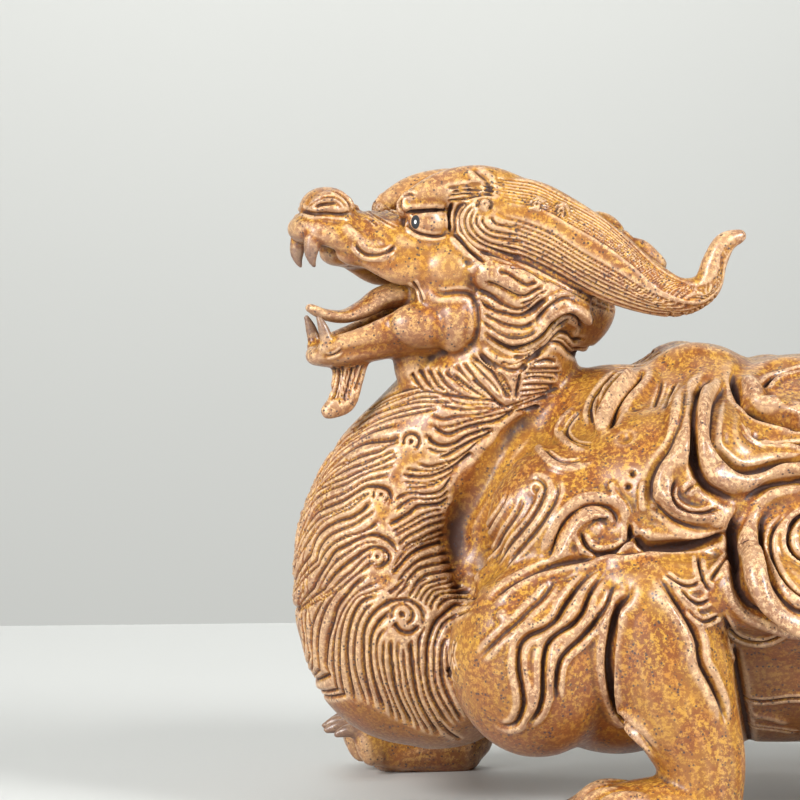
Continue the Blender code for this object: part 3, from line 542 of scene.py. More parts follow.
# The throat and the mane, with the leaf of hair behind the throat and the beard
MANE_BOLD = (
    ((471, 355), (484, 365), (495, 375), (504, 388), (510, 399)),
    ((438, 392), (455, 395), (472, 398), (490, 400), (503, 404)),
    ((470, 376), (479, 384), (489, 393), (499, 403), (507, 409)),
    ((528, 364), (522, 374), (519, 388), (517, 400)),
    ((452, 373), (467, 385), (482, 395), (491, 399)),
    ((338, 368), (336, 384), (331, 400)),
    ((353, 366), (349, 384), (343, 402)),
)
MANE_FINE = (
    ((493, 364), (502, 375), (509, 386), (513, 394)),
    ((478, 352), (490, 364), (500, 376), (508, 390), (512, 400)),
    ((470, 359), (482, 372), (491, 381), (502, 394)),
    ((463, 362), (476, 378), (488, 390), (497, 400)),
    ((455, 364), (468, 379), (480, 390), (492, 398)),
    ((444, 370), (456, 381), (468, 391), (478, 396)),
    ((436, 368), (445, 382), (456, 391), (468, 395)),
    ((428, 368), (436, 382), (446, 391)),
    ((420, 368), (426, 380), (434, 390)),
    ((411, 372), (417, 382), (424, 391)),
    ((531, 365), (539, 362), (548, 360), (556, 362)),
    ((527, 369), (541, 369), (560, 369)),
    ((524, 374), (536, 373), (550, 373), (561, 374)),
    ((522, 380), (530, 378), (539, 377), (556, 379)),
    ((520, 386), (530, 385), (541, 385), (557, 385)),
    ((519, 392), (530, 391), (541, 390), (556, 387)),
    ((519, 397), (530, 396), (541, 394), (550, 391), (559, 386)),
    ((510, 409), (524, 405), (537, 400), (550, 394)),
    ((514, 413), (528, 409), (540, 405)),
    ((334, 366), (332, 382), (327, 398)),
    ((343, 366), (340, 384), (336, 402)),
    ((348, 368), (344, 386), (339, 404)),
    ((358, 364), (354, 382), (348, 400)),
    ((364, 364), (360, 378), (355, 392)),
)
# The hair between the horn and the cheek
LOCK_BOLD = (
    ((498, 271), (508, 272), (518, 279), (527, 284), (539, 280)),
    ((484, 282), (495, 286), (507, 292), (518, 297), (527, 296), (537, 289), (546, 285)),
    ((477, 297), (493, 309), (507, 313), (520, 315), (532, 310), (541, 302), (550, 297)),
    ((530, 357), (539, 352), (548, 346), (555, 338), (562, 332), (570, 334), (576, 340),
     (585, 340)),
    ((543, 350), (553, 343), (562, 344), (569, 350), (578, 354), (588, 353)),
)
LOCK_FINE = (
    ((508, 267), (518, 266), (530, 270), (541, 277), (550, 282)),
    ((520, 305), (531, 301), (539, 294), (547, 290)),
    ((478, 289), (491, 296), (503, 304), (516, 309), (527, 307), (538, 298), (546, 294)),
    ((482, 312), (496, 320), (512, 326), (526, 326), (535, 320)),
    ((480, 320), (494, 329), (510, 336), (526, 335), (538, 328)),
    ((508, 350), (522, 351), (535, 348), (546, 341), (555, 330), (562, 323), (570, 320),
     (577, 325)),
    ((512, 357), (524, 356), (534, 352), (545, 345)),
    ((500, 362), (512, 364), (524, 361), (533, 355)),
    ((548, 346), (557, 339), (565, 340), (572, 347), (580, 349), (591, 347)),
)
# The horns: the grooves at their root and then sheaves of strands, each a count and its two edges
HORN_FINE = (
    ((467, 201), (458, 208), (454, 220), (455, 233)),
    ((474, 199), (464, 206), (458, 217), (460, 230), (467, 240), (479, 250), (500, 257),
     (522, 265)),
    ((475, 203), (467, 212), (464, 222), (468, 233), (479, 243), (490, 248), (505, 253),
     (525, 259)),
    ((476, 208), (471, 216), (471, 226), (478, 236), (489, 243), (504, 247), (525, 252)),
    ((479, 212), (476, 222), (482, 231), (492, 237), (506, 240), (524, 244)),
    ((483, 216), (483, 223), (490, 230), (502, 233), (520, 236)),
    ((490, 216), (495, 223), (505, 226), (522, 229)),
    ((446, 188), (462, 187), (479, 185), (490, 187), (502, 190)),
    ((451, 192), (469, 190), (488, 190), (502, 194)),
    ((448, 196), (465, 194), (481, 193), (496, 195)),
    ((448, 201), (461, 200), (474, 196), (483, 195)),
)
HORN_SHEAVES = (
    (8, ((486, 178), (510, 180), (535, 184), (562, 197), (600, 218), (630, 243), (662, 272),
     (696, 286), (716, 275), (722, 250), (738, 237)), ((499, 200), (520, 203), (545, 209),
     (572, 224), (605, 243), (635, 266), (665, 291), (698, 300), (719, 285), (725, 257),
     (740, 238))),
    (10, ((494, 212), (506, 218), (522, 222), (550, 233), (580, 252), (612, 270), (640, 287),
     (668, 300), (698, 305), (720, 290), (727, 262), (741, 238.5)), ((490, 260), (505, 263),
     (522, 266), (560, 285), (600, 306), (630, 315), (660, 319), (698, 313), (723, 295),
     (729, 265), (743, 240))),
)
# The eyes of the whorls and the small knobs of the horns: the middle and the ring's reach in
# pixels, how the ring turns, the shares of its reach that its groove and its eye take, and the
# eye's depth. Those above a row of the photograph are on the head
WHORLS = ((411, 441, 8), (381, 494, 8), (377, 557, 8), (402, 615, 11), (485, 204, 7), (537, 204, 6),
          (561, 211, 5.5))
RING_TURN = (math.radians(-215), math.radians(75))
RING_POINTS = 16
RING_HALF = 0.1
RING_EYE, RING_EYE_DEPTH = 0.09, 0.9
HEAD_ROWS = 300

# Strands that begin left of this pixel run on round the throat, so far out and down in the middle
FRONT_END = 346
FRONT_BULGE = Vector((-10, 0, -6))
FRONT_POINTS = 15
OVERLAP = 10
# The middle of the nape in the frame of the head, the arc of a strand that falls over it, with its
# reach, its wave and its points, and how far beside the middle each strand lies
NAPE = (13.5, 0, -3)
NAPE_ARC = (1.15, -0.95)
NAPE_REACH, NAPE_DROP = 24, 18
NAPE_WAVE, NAPE_WAVES = 0.6, 3
NAPE_POINTS = 16
NAPE_STRANDS = (-9.6, -8, -6.4, -4.8, -3.2, -1.6, 0, 1.6, 3.2, 4.8, 6.4, 8, 9.6)


class Skin:
    """The skin of the clay as arrays, with what is needed to draw on it and press it."""

    def __init__(self, mesh):
        self.mesh = mesh
        self.points = rows_of(mesh.vertices, "co").astype(float)
        self.normals = rows_of(mesh.vertices, "normal").astype(float)
        self.tree = BVHTree.FromPolygons([tuple(p) for p in self.points],
                                         [tuple(face.vertices) for face in mesh.polygons])
        self.low = self.points.min(0) - CELL
        cells = np.floor((self.points - self.low) / CELL).astype(np.int64)
        self.row, self.layer = 64, 4096
        keys = cells[:, 0] + self.row * cells[:, 1] + self.layer * cells[:, 2]
        self.order = np.argsort(keys, kind="stable")
        self.keys = keys[self.order]

    def near(self, line, reach):
        """The vertices that may lie within reach of a line."""
        spread = range(-int(math.ceil(reach / CELL)), int(math.ceil(reach / CELL)) + 1)
        cells = np.unique(np.floor((line - self.low) / CELL).astype(np.int64), axis=0)
        keys = {int((c[0] + i) + self.row * (c[1] + j) + self.layer * (c[2] + k))
                for c in cells for i in spread for j in spread for k in spread}
        keys = np.array(sorted(keys))
        starts = np.searchsorted(self.keys, keys, "left")
        ends = np.searchsorted(self.keys, keys, "right")
        found = [self.order[start:end] for start, end in zip(starts, ends)]
        return np.concatenate(found or [np.empty(0, int)])

    def seen(self, along, up):
        """The place on the skin under a point of the sheet."""
        return beneath(self.tree, along, up)[0]

    def mirrored(self, places, frame_of):
        """The places on the skin opposite to some, mirrored in a frame."""
        flip = frame_of(-1) @ frame_of(1).inverted()
        return [self.tree.find_nearest(flip @ place)[0] for place in places]

    def traced(self, drawn, frame_of):
        """The line on the skin under a drawn line, and its mirror image in a frame."""
        left = [self.seen(along, up) for along, up in drawn]
        right = self.mirrored(left, frame_of)
        return [evenly(np.array(line), STROKE_STEP) for line in (left, right)]

    def shift(self, amounts):
        """Moves each vertex along the way it faces, and takes the new shape as the skin's."""
        self.points += self.normals * amounts[:, None]
        self.mesh.vertices.foreach_set("co", self.points.ravel())
        self.mesh.update()


def rows_of(items, name):
    """A vector that each item has under a name, such as a vertex its place, as rows of numbers."""
    rows = np.empty(len(items) * 3, np.float32)
    items.foreach_get(name, rows)
    return rows.reshape(-1, 3)


def beneath(tree, along, up):
    """The place on a skin under a point of the sheet, and the way the skin faces there."""
    aim = SHEET_RIGHT * along + Vector((0, 0, up))
    place, normal = tree.ray_cast(EYE, (aim - EYE).normalized())[:2]
    return tree.find_nearest(aim)[:2] if place is None else (place, normal)


def evenly(line, step):
    """A line with its points a set step apart."""
    lengths = np.linalg.norm(np.diff(line, axis=0), axis=1)
    way = np.concatenate(([0], np.cumsum(lengths)))
    if way[-1] < step:
        return line
    stops = np.linspace(0, way[-1], int(way[-1] / step) + 2)
    return np.stack([np.interp(stops, way, line[:, axis]) for axis in range(3)], axis=1)


def reach_of(skin, line, reach):
    """The vertices near a line: how far off, where along it from 0 to 1, how far to its left."""
    ids = skin.near(line, reach)
    ids = ids[np.all((skin.points[ids] > line.min(0) - reach)
                     & (skin.points[ids] < line.max(0) + reach), axis=1)]
    if not len(ids):
        return ids, np.empty(0), np.empty(0), np.empty(0)
    gaps = ((skin.points[ids, None] - line[None]) ** 2).sum(2)
    nearest = np.argmin(gaps, axis=1)
    gap = skin.points[ids] - line[nearest]
    ahead = np.gradient(line, axis=0) if len(line) > 1 else np.ones((1, 3))
    ahead /= np.linalg.norm(ahead, axis=1)[:, None] + 1e-9
    along = (gap * ahead[nearest]).sum(1)
    inner = (nearest > 0) & (nearest < len(line) - 1)
    square = (gap ** 2).sum(1) - np.where(inner, along ** 2, 0)
    beside = (gap * np.cross(skin.normals[ids], ahead[nearest])).sum(1)
    return ids, np.sqrt(np.clip(square, 0, None)), nearest / max(len(line) - 1, 1), beside


def body_frame(side):
    """The frame of the body, mirrored for the right side when side is -1."""
    return Matrix.Diagonal((1, side, 1, 1))


def head_frame(side):
    """The frame of the head: x to the rear, y to its right, z up, mirrored for the right side."""
    turn = Matrix.Rotation(math.radians(HEAD_TURN), 4, "Z")
    return Matrix.Translation(HEAD_AT) @ turn @ Matrix.Diagonal((1, side, 1, 1))


def run_through(stations, steps=ROLL_STEPS):
    """A Catmull-Rom curve through rows of numbers, with a few steps from each row to the next."""
    rows = np.array(stations, float)
    rows = np.vstack((2 * rows[0] - rows[1], rows, 2 * rows[-1] - rows[-2]))
    out = []
    for before, start, end, after in zip(rows, rows[1:], rows[2:], rows[3:]):
        for t in np.linspace(0, 1, steps, endpoint=False):
            out.append(0.5 * (2 * start + (end - before) * t
                              + (2 * before - 5 * start + 4 * end - after) * t ** 2
                              + (3 * start - before - 3 * end + after) * t ** 3))
    out.append(rows[-2])
    return np.array(out)


def close_body(clay, rings):
    """Joins rings of points into one closed body, with a point at each end."""
    loops = [[clay.verts.new(point) for point in ring] for ring in rings[1:-1]]
    first, last = (clay.verts.new(rings[i][0]) for i in (0, -1))
    faces = []
    sides = len(loops[0])
    for low, high in zip(loops, loops[1:]):
        faces += [clay.faces.new((low[i], low[(i + 1) % sides], high[(i + 1) % sides], high[i]))
                  for i in range(sides)]
    for i in range(sides):
        faces.append(clay.faces.new((first, loops[0][(i + 1) % sides], loops[0][i])))
        faces.append(clay.faces.new((last, loops[-1][i], loops[-1][(i + 1) % sides])))
    bmesh.ops.recalc_face_normals(clay, faces=faces)


def ball(clay, frame, at, size, lean=0.0, under=1.0):
    """A ball with its own half sizes along x, y and z, leaning forward by some degrees.

    Its lower half is flattened to the share that under gives.
    """
    lean = Matrix.Rotation(math.radians(-lean), 3, "Y")
    rings = []
    for up in np.linspace(-90, 90, BALL_LEVELS):
        level, reach = math.sin(math.radians(up)), math.cos(math.radians(up))
        if level < 0:
            level *= under
        ring = []
        for around in np.linspace(0, 2 * math.pi, 2 * ROLL_SIDES, endpoint=False):
            point = Vector((size[0] * reach * math.cos(around),
                            size[1] * reach * math.sin(around), size[2] * level))
            ring.append(frame @ (lean @ point + Vector(at)))
        rings.append(ring)
    close_body(clay, rings)


def lay_roll(clay, path, acrosses, widths, depths):
    """A roll of clay with round ends along a path, its width across it and its depth upright."""
    last = len(path) - 1
    stops = [(0, angle) for angle in ROLL_ENDS]
    stops += [(i, 0) for i in range(1, last)]
    stops += [(last, -angle) for angle in reversed(ROLL_ENDS)]
    rings = []
    for i, angle in stops:
        ahead = Vector(path[min(i + 1, last)] - path[max(i - 1, 0)]).normalized()
        across = Vector(acrosses[i])
        across = (across - ahead * ahead.dot(across)).normalized()
        rise = ahead.cross(across)
        reach = math.cos(math.radians(angle))
        middle = Vector(path[i]) - ahead * math.sin(math.radians(angle)) * min(widths[i], depths[i])
        rings.append([middle + across * widths[i] * reach * math.cos(around)
                      + rise * depths[i] * reach * math.sin(around)
                      for around in np.linspace(0, 2 * math.pi, ROLL_SIDES, endpoint=False)])
    close_body(clay, rings)


def roll(clay, frame, stations):
    """A roll in a frame. A station is x, y, z, half the width across and half the depth."""
    rows = run_through(stations)
    path = np.array([frame @ Vector(row[:3]) for row in rows])
    across = frame.to_3x3() @ Vector((0, 1, 0))
    lay_roll(clay, path, [across] * len(path), rows[:, 3], rows[:, 4])


def lay_on(clay, skin, drawn, side):
    """Lays a roll on the body along a path drawn on the sheet, a little sunk into it."""
    rows = run_through(drawn)
    places, normals = [], []
    for along, up, width in rows:
        place, normal = beneath(skin, along, up)
        places.append(place - normal * width * SUNK)
        normals.append(normal)
    flip = body_frame(side)
    path = np.array([flip @ place for place in places])
    normals = [flip.to_3x3() @ normal for normal in normals]
    aheads = np.gradient(path, axis=0)
    acrosses = [Vector(ahead).cross(normal) for ahead, normal in zip(aheads, normals)]
    lay_roll(clay, path, acrosses, rows[:, 2], rows[:, 2])


def scroll(middle_along, middle_up, reach, start):
    """A spiral drawn on the sheet, from its outer end to its middle, as rows for lay_on."""
    rows = []
    for t in np.linspace(0, 1, SCROLL_POINTS):
        radius = reach * (1 - SCROLL_INWARD * t)
        angle = math.radians(start) - SCROLL_TURNS * 2 * math.pi * t
        rows.append((middle_along + radius * math.cos(angle), middle_up + radius * math.sin(angle),
                     reach * (SCROLL_WIDTH - SCROLL_TAPER * t)))
    return rows


def put_torso(clay):
    """The belly, the chest and the neck up to the back of the head."""
    frame = body_frame(1)
    ball(clay, frame, (12, 0, 35), (60, 33, 24))
    ball(clay, frame, (-58, 0, 33), (22, 20, 22))
    roll(clay, frame, [(-54, 0, 28, 21, 18), (-62.5, 0, 38, 19, 19), (-65.3, 0, 50, 16.5, 16),
                       (-61.9, 0, 60, 15, 14.2), (-54.7, 0, 69, 15, 12.9),
                       (-46.3, -1, 78, 15, 13), (-40, -2, 88, 14, 12.5)])


def put_shell(clay):
    """The dome of the shell, with shoulders that come forward around the neck."""
    frame = body_frame(1)
    ball(clay, frame, (19, 0, 42), (55, 41, 43), under=SHELL_UNDER)
    ball(clay, frame, (-3, 0, 58), (31, 31, 26.5))
    ball(clay, frame, (-20, 0, 62), (20, 27, 21))
    ball(clay, frame, (-4.5, 0, 79), (11, 16, 8.1))
    for side in (1, -1):
        frame = body_frame(side)
        ball(clay, frame, (-32, -22.5, 53), (16, 14, 16.5), 25)
        ball(clay, frame, (-41, -8, 54), (11, 10, 18))
        ball(clay, frame, (-15, -24, 58), (22, 14.5, 18), 20)
        roll(clay, frame, [(-48, -25, 44, 4, 6), (-36, -34, 44, 4, 6), (-15, -39, 44, 5, 6),
                           (10, -41, 41, 5, 6), (34, -40.5, 41, 5.5, 6),
                           (56, -31, 43, 6, 6), (70, -16, 45, 6, 6), (75.5, 4, 46, 6, 6)])


def put_upper_limbs(clay):
    """The swollen upper arms, the shoulders over them and the round haunches."""
    for side, step in ((1, 0.0), (-1, HIND_STEP)):
        frame = body_frame(side)
        ball(clay, frame, (-40, -30.5, 31), (15.5, 13.5, 18), 8)
        ball(clay, frame, (-24, -24, 27), (17, 14, 14.5))
        ball(clay, frame, (-29, -32, 36), (17, 11, 14), 20)
        ball(clay, frame, (46 + 0.5 * step, -29, 26), (18, 13.5, 17.5), -10)


def put_tail(clay):
    """A short tail that hangs down behind, turned to the left."""
    roll(clay, body_frame(1), [(60, 0, 38, 10, 9), (69, 0, 34, 7, 6.5), (76, -2, 26, 5, 4.8),
                               (79, -6, 18, 3.8, 3.6), (77, -10, 12, 2.4, 2.4)])


def toe_of(ankle, aside, toe):
    """Where a toe's tip lies behind the middle and aside, and how far it is splayed there."""
    spread = toe - (TOES - 1) / 2
    return ankle - FOOT_LONG + TOE_ARC * abs(spread), aside + spread * TOE_PITCH, spread * TOE_SPLAY


def claw_of(ankle, aside, toe, lift):
    """The roll of one claw of a foot, at the end of its toe."""
    tip, y, splay = toe_of(ankle, aside, toe)
    return [(tip + 3, y + splay, 5.4 + 1.1 * lift, 1.6, 1.9),
            (tip - 1, y + 1.3 * splay, 4 + 1.5 * lift, 1.3, 1.5),
            (tip - 3.6, y + 1.5 * splay, 1.8 + 1.9 * lift, 0.7, 0.8)]


def feet():
    """Each foot's side, the place of its ankle, how far out it stands and how it lifts its toes."""
    return ((1, FORE_ANKLE, -FORE_OUT, 0.0), (-1, FORE_ANKLE + FORE_STEP, -FORE_OUT, TOE_LIFT),
            (1, HIND_ANKLE, -HIND_OUT, 0.0), (-1, HIND_ANKLE + HIND_STEP, -HIND_OUT, 0.0))


def put_foot(clay, frame, ankle, aside, lift):
    """A broad foot under an ankle, with toes that end in claws and may be lifted a little."""
    roll(clay, frame, [(ankle - 1, aside, 5, 7.6, 6.5), (ankle - 8, aside, 5, 8.6, 6),
                       (ankle - 14, aside, 4.6, 8.8, 5.4)])
    for toe in range(TOES):
        tip, y, splay = toe_of(ankle, aside, toe)
        roll(clay, frame, [(tip + 12, y - splay, 4.5, 2.5, 4.5),
                           (tip + 6, y, 5.4 + 0.5 * lift, 2.7, 4.4 + 0.4 * lift),
                           (tip + 2.5, y + splay, 4 + 0.7 * lift, 2.4, 3.4 + 0.4 * lift)])
        roll(clay, frame, claw_of(ankle, aside, toe, lift))


def put_lower_limbs(clay):
    """The forelegs and the shins, down to the feet."""
    for side, step in ((1, 0.0), (-1, FORE_STEP)):
        frame = body_frame(side)
        roll(clay, frame, [(-24, -34.5, 44, 8, 8), (-20 + 0.25 * step, -36.5, 41, 9, 10),
                           (-17.3 + 0.5 * step, -38.5, 33, 8.4, 11.2),
                           (-15.2 + 0.75 * step, -39.5, 24, 7.8, 10.2),
                           (-11.8 + step, -FORE_OUT, 14.5, ANKLE, 8.2),
                           (FORE_ANKLE + step, -FORE_OUT, 7, 6.9, ANKLE)])
    for side, step in ((1, 0.0), (-1, HIND_STEP)):
        frame = body_frame(side)
        roll(clay, frame, [(40 + 0.5 * step, -31, 32, 8, 10),
                           (44 + 0.7 * step, -36, 22, 7.6, 9.4),
                           (HIND_ANKLE + step, -HIND_OUT, 13, 7.0, 8),
                           (HIND_ANKLE + step, -HIND_OUT, 7, 6.8, ANKLE)])
    for side, ankle, aside, lift in feet():
        put_foot(clay, body_frame(side), ankle, aside, lift)


def put_skull(clay):
    """The skull, the nape, the cheeks, the temples and the brows."""
    frame = head_frame(1)
    ball(clay, frame, (4, 0, 12.5), (14, 11, 9.6))
    ball(clay, frame, NAPE, (18, 13, 11.5))
    roll(clay, frame, [(-7.8, 0, -10.5, 4.2, 3.8), (-8.4, 0, -14.5, 4, 3.6),
                       (-8.0, 0, -18, 3, 2.6)])
    ball(clay, frame, (-2, 0, -1), (9.5, 8.6, 12.5))
    for side in (1, -1):
        frame = head_frame(side)
        roll(clay, frame, [(-12.4, -7.4, 14.9, 1.6, 2.0), (-9.8, -8, 16.9, 2.3, 2.5),
                           (-5.5, -8.4, 18.4, 3.2, 3.4), (-0.5, -8.2, 19.2, 3.8, 3.8),
                           (4, -8, 19.2, 4, 3.7), (9, -8, 17.8, 4, 3.5)])
        ball(clay, frame, (-3, -8.4, 4.4), (7.2, 4.4, 5.8), 25)
        ball(clay, frame, (-9.5, -6.6, 8), (6.5, 3.2, 3.8), -10)
        ball(clay, frame, (-3.2, -8.6, -5.2), (4.2, 4.4, 6.4))
        ball(clay, frame, (-3.5, -7.6, -0.5), (6.6, 4.2, 7.5))
        ball(clay, frame, (-8.5, -7, -6.4), (7, 4, 4.4))
        ball(clay, frame, (10, -9, -5), (11.5, 7, 10.5))
        roll(clay, frame, [(2.2, -12.4, 3.2, 3.4, 3.4), (8.1, -13.4, 0.8, 4.2, 4.2),
                           (13.2, -14.4, -1.2, 4.2, 4.2), (18, -14.6, -3.2, 3.4, 3.4)])


def put_upper_jaw(clay):
    """The upper jaw: the bridge, a round nose with two nostril wings, the palate and the lips."""
    frame = head_frame(1)
    roll(clay, frame, [(-27, 0, 12, 5.6, 3.2), (-22, 0, 11.0, 6.2, 4.2), (-17, 0, 9.6, 6.9, 5.0),
                       (-12, 0, 9.0, 8.2, 6.0), (-5, 0, 8, 10, 8), (4, 0, 6.5, 10, 9)])
    ball(clay, frame, (-25.2, 0, 15.3), (4.9, 5.0, 3.8))
    ball(clay, frame, (-28.1, 0, 11.3), (4.2, 6.4, 3.0))
    ball(clay, frame, (-22.5, 0, 6.9), (4.0, 3.6, 2.6))
    for side in (1, -1):
        frame = head_frame(side)
        ball(clay, frame, (-25, -3.4, 15.2), (4.4, 2.6, 3.1))
        ball(clay, frame, (-15.5, -4.8, 8.6), (9.5, 3.4, 4.2), 12)
        roll(clay, frame, [(-28.5, -5.2, 10.6, 1.7, 2.0), (-24, -5.8, 9.4, 1.7, 2.4),
                           (-20, -6.2, 7.4, 1.7, 2.8), (-16.5, -6.7, 5.4, 1.8, 2.9),
                           (-13.5, -7.4, 4.0, 2, 3.0), (-9.5, -8.2, 4.0, 2.4, 3.6)])


def put_lower_jaw(clay):
    """The lower jaw: a trough with raised rims, and the goatee."""
    frame = head_frame(1)
    roll(clay, frame, [(0, 0, -7, 8.4, 5.5), (-6, 0, -8.2, 8.0, 4.6), (-12, 0, -9.2, 7.0, 3.4),
                       (-18, 0, -10.8, 6.0, 2.7), (-23.5, 0, -12, 5.2, 2.3),
                       (-27, 0, -12, 4.2, 2.0)])
    roll(clay, frame, [(-20.2, 0, -12.4, 2.8, 3.3), (-21.2, 0, -17, 2.4, 3.0),
                       (-22.2, 0, -20.4, 2.1, 2.8), (-24.8, 0, -22.4, 1.5, 1.6)])
    for side in (1, -1):
        roll(clay, head_frame(side), [(-26.5, -3.9, -10.4, 1.4, 1.5), (-20, -5.2, -8.8, 1.5, 2.1),
                                      (-14, -6.3, -7.0, 1.6, 2.9), (-8.5, -7.4, -5.2, 2.3, 3.8)])


def put_mouth(clay):
    """The tongue, the four fangs, the eyes and the two small beads behind the nose."""
    frame = head_frame(1)
    roll(clay, frame, [(-6, 0, -0.3, 4.2, 2.6), (-13.9, 0, -1.3, 3.9, 2.3),
                       (-17.7, 0, -3.3, 3.7, 1.8), (-21.6, 0, -4.8, 3.3, 1.3),
                       (-25.4, 0, -4.5, 2.6, 1.1), (-28.2, 0, -3.3, 1.6, 0.9)])
    for at, radius in ((-19.9, 1.0), (-18.4, 0.9)):
        ball(clay, frame, (at, 0, 15 - 0.9 * (at + 19.9)), (radius, 1.6 * radius, radius))
    for side in (1, -1):
        frame = head_frame(side)
        ball(clay, frame, (-7.9, -7.3, 12.3), (4.3, 3.1, 3.0))
        for fang in FANGS:
            roll(clay, frame, fang)


def put_horns(clay):
    """The horns, which sweep back from the temples and turn up at the tips, and their knobs."""
    for side in (1, -1):
        frame = head_frame(side)
        roll(clay, frame, [
            (2, -9, 12.3, 5.4, 7.4), (9, -10.5, 12.6, 6, 8.2), (15.6, -13, 9.8, 6.3, 7.7),
            (22.3, -16, 5.6, 6, 6.8), (28.6, -19.5, 1.4, 5, 5.4), (35, -23, -1.2, 3.6, 3.8),
            (39.6, -25.4, 0.5, 2.7, 2.8), (41, -26.2, 5, 2.3, 2.4), (42.8, -26.7, 8.6, 2, 2.1),
            (45.6, -27, 9.9, 1.4, 1.4)])
        ball(clay, frame, (25.2, -13, 11.6), (4.2, 2.2, 2.4), -35)
        ball(clay, frame, (27.6, -15.5, 9.6), (1.3, 1.4, 1.7))
        roll(clay, frame, [(27.6, -15, 8.2, 1.6, 1.6), (30.6, -15.6, 7.4, 2.1, 2.2),
                           (33.6, -17, 4.6, 1.8, 2.0)])


def put_scrolls(clay, skin):
    """The scrolls of the shell, on both sides."""
    for side in (1, -1):
        for drawn in SCROLLS:
            lay_on(clay, skin, drawn, side)
        for along, up, reach, start in REAR_SCROLLS:
            lay_on(clay, skin, scroll(along, up, reach, start), side)


def pixels(drawn):
    """A line in pixels of the photograph as a smooth line on the sheet, in shares."""
    line = np.array(drawn, float)[:, :2]
    line = np.stack(((line[:, 0] - ORIGIN_ACROSS) * PIXEL, (ORIGIN_DOWN - line[:, 1]) * PIXEL),
                    axis=1)
    return run_through(line, LINE_STEPS)


def strands_of(count, guides):
    """The strands of a sheaf: lines spread evenly between its guides, with as many points each."""
    lines = []
    for guide in guides:
        line = pixels(guide)
        way = np.concatenate(([0], np.cumsum(np.linalg.norm(np.diff(line, axis=0), axis=1))))
        stops = np.linspace(0, way[-1], SHEAF_POINTS)
        lines.append(np.stack([np.interp(stops, way, line[:, axis]) for axis in range(2)], axis=1))
    lines = np.array(lines)
    out = []
    for t in np.linspace(0, len(guides) - 1, count):
        i = min(int(t), len(guides) - 2)
        out.append(lines[i] + (lines[i + 1] - lines[i]) * (t - i))
    return out


def ring(across, down, reach):
    """A ring in pixels around a middle, open for a quarter at its lower left, as a whorl is."""
    return [(across + reach * math.cos(angle), down + reach * math.sin(angle))
            for angle in np.linspace(*RING_TURN, RING_POINTS)]


def begin(name, clay):
    """Puts a bmesh into the scene as the one selected and active object, still in shares."""
    mesh = bpy.data.meshes.new(name)
    clay.to_mesh(mesh)
    clay.free()
    thing = bpy.data.objects.new(name, mesh)
    bpy.context.scene.collection.objects.link(thing)
    choose(thing)
    return thing


def choose(thing):
    """Makes one object the only selected one and the active one."""
    for other in bpy.context.scene.objects:
        other.select_set(other == thing)
    bpy.context.view_layer.objects.active = thing


def press_together(thing, grain, rounds):
    """Joins the masses into one skin and runs it smooth, as wet hands do."""
    choose(thing)
    thing.data.remesh_voxel_size = grain
    bpy.ops.object.voxel_remesh()
    run_smooth(thing, rounds)


def run_smooth(thing, rounds):
    """Runs the clay smooth over and over."""
    smooth = thing.modifiers.new("Run smooth", "SMOOTH")
    smooth.factor = SMOOTH_FACTOR
    smooth.iterations = rounds
    keep_modified(thing)


def keep_modified(thing):
    """Keeps the mesh that the object's modifiers give, and drops the modifiers."""
    graph = bpy.context.evaluated_depsgraph_get()
    mesh = bpy.data.meshes.new_from_object(thing.evaluated_get(graph))
    thing.modifiers.clear()
    thing.data = mesh


def take_up(thing):
    """The clay of an object, to add to. The object itself goes."""
    clay = bmesh.new()
    clay.from_mesh(thing.data)
    bpy.data.objects.remove(thing, do_unlink=True)
    return clay


def press_body(sizes):
    """The figure as one smooth skin: the trunk, then scrolls and limbs, then the fine parts."""
    clay = bmesh.new()
    for put in (put_torso, put_shell, put_upper_limbs):
        put(clay)
    body = begin("trunk", clay)
    press_together(body, BODY_GRAIN, BODY_ROUNDS)
    clay = take_up(body)
    put_scrolls(clay, BVHTree.FromBMesh(clay))
    body = begin("scrolled_trunk", clay)
    press_together(body, MELT_GRAIN, MELT_ROUNDS)
    clay = take_up(body)
    for put in (put_tail, put_lower_limbs, put_skull, put_upper_jaw, put_lower_jaw, put_horns):
        put(clay)
    body = begin("soft_figure", clay)
    press_together(body, SOFT_GRAIN, SOFT_ROUNDS)
    clay = take_up(body)
    put_mouth(clay)
    figure = begin(FIGURE, clay)
    press_together(figure, sizes.grain, sizes.rounds)
    return figure


def smooth_step(share):
    """From 0 to 1 with soft ends."""
    share = np.clip(share, 0, 1)
    return share * share * (3 - 2 * share)


def fold_in(skin, lift, drawn, frame_of, depth, left, right):
    """Adds one fold to the lift of each vertex, on both sides of the figure."""
    for line, hand in zip(skin.traced(drawn, frame_of), (1, -1)):
        ids, away, along, beside = reach_of(skin, line, max(left[1], right[1]))
        ends = smooth_step(np.minimum(along, 1 - along) * FOLD_ENDS[0] + FOLD_ENDS[1])
        for (rise, reach), side in ((left, 1), (right, -1)):
            here = beside * hand * side >= 0
            lift[ids[here]] += bank_height(away[here] / reach, depth, rise) * ends[here]


def bank_height(share, depth, rise):
    """The height of a bank: steep at the groove, round at the crest, and falling away behind it."""
    if rise == 0:
        return -depth * (1 - smooth_step(share))
    climb = np.clip(share / CREST, 0, 1)
    climb = ROUND_SHARE * np.sqrt(1 - (1 - climb) ** 2) + SOFT_SHARE * smooth_step(climb)
    return (depth + rise) * climb - depth - rise * smooth_step((share - CREST) / (1 - CREST))


def dimple_in(skin, lift, middle, frame_of, reach, rise):
    """Adds a round wart or hollow to the lift of each vertex, on both sides."""
    for line in skin.traced(pixels((middle, (middle[0] + 1, middle[1]))), frame_of):
        ids, away = reach_of(skin, line[:1], reach)[:2]
        lift[ids] += rise * (1 - smooth_step(away / reach))


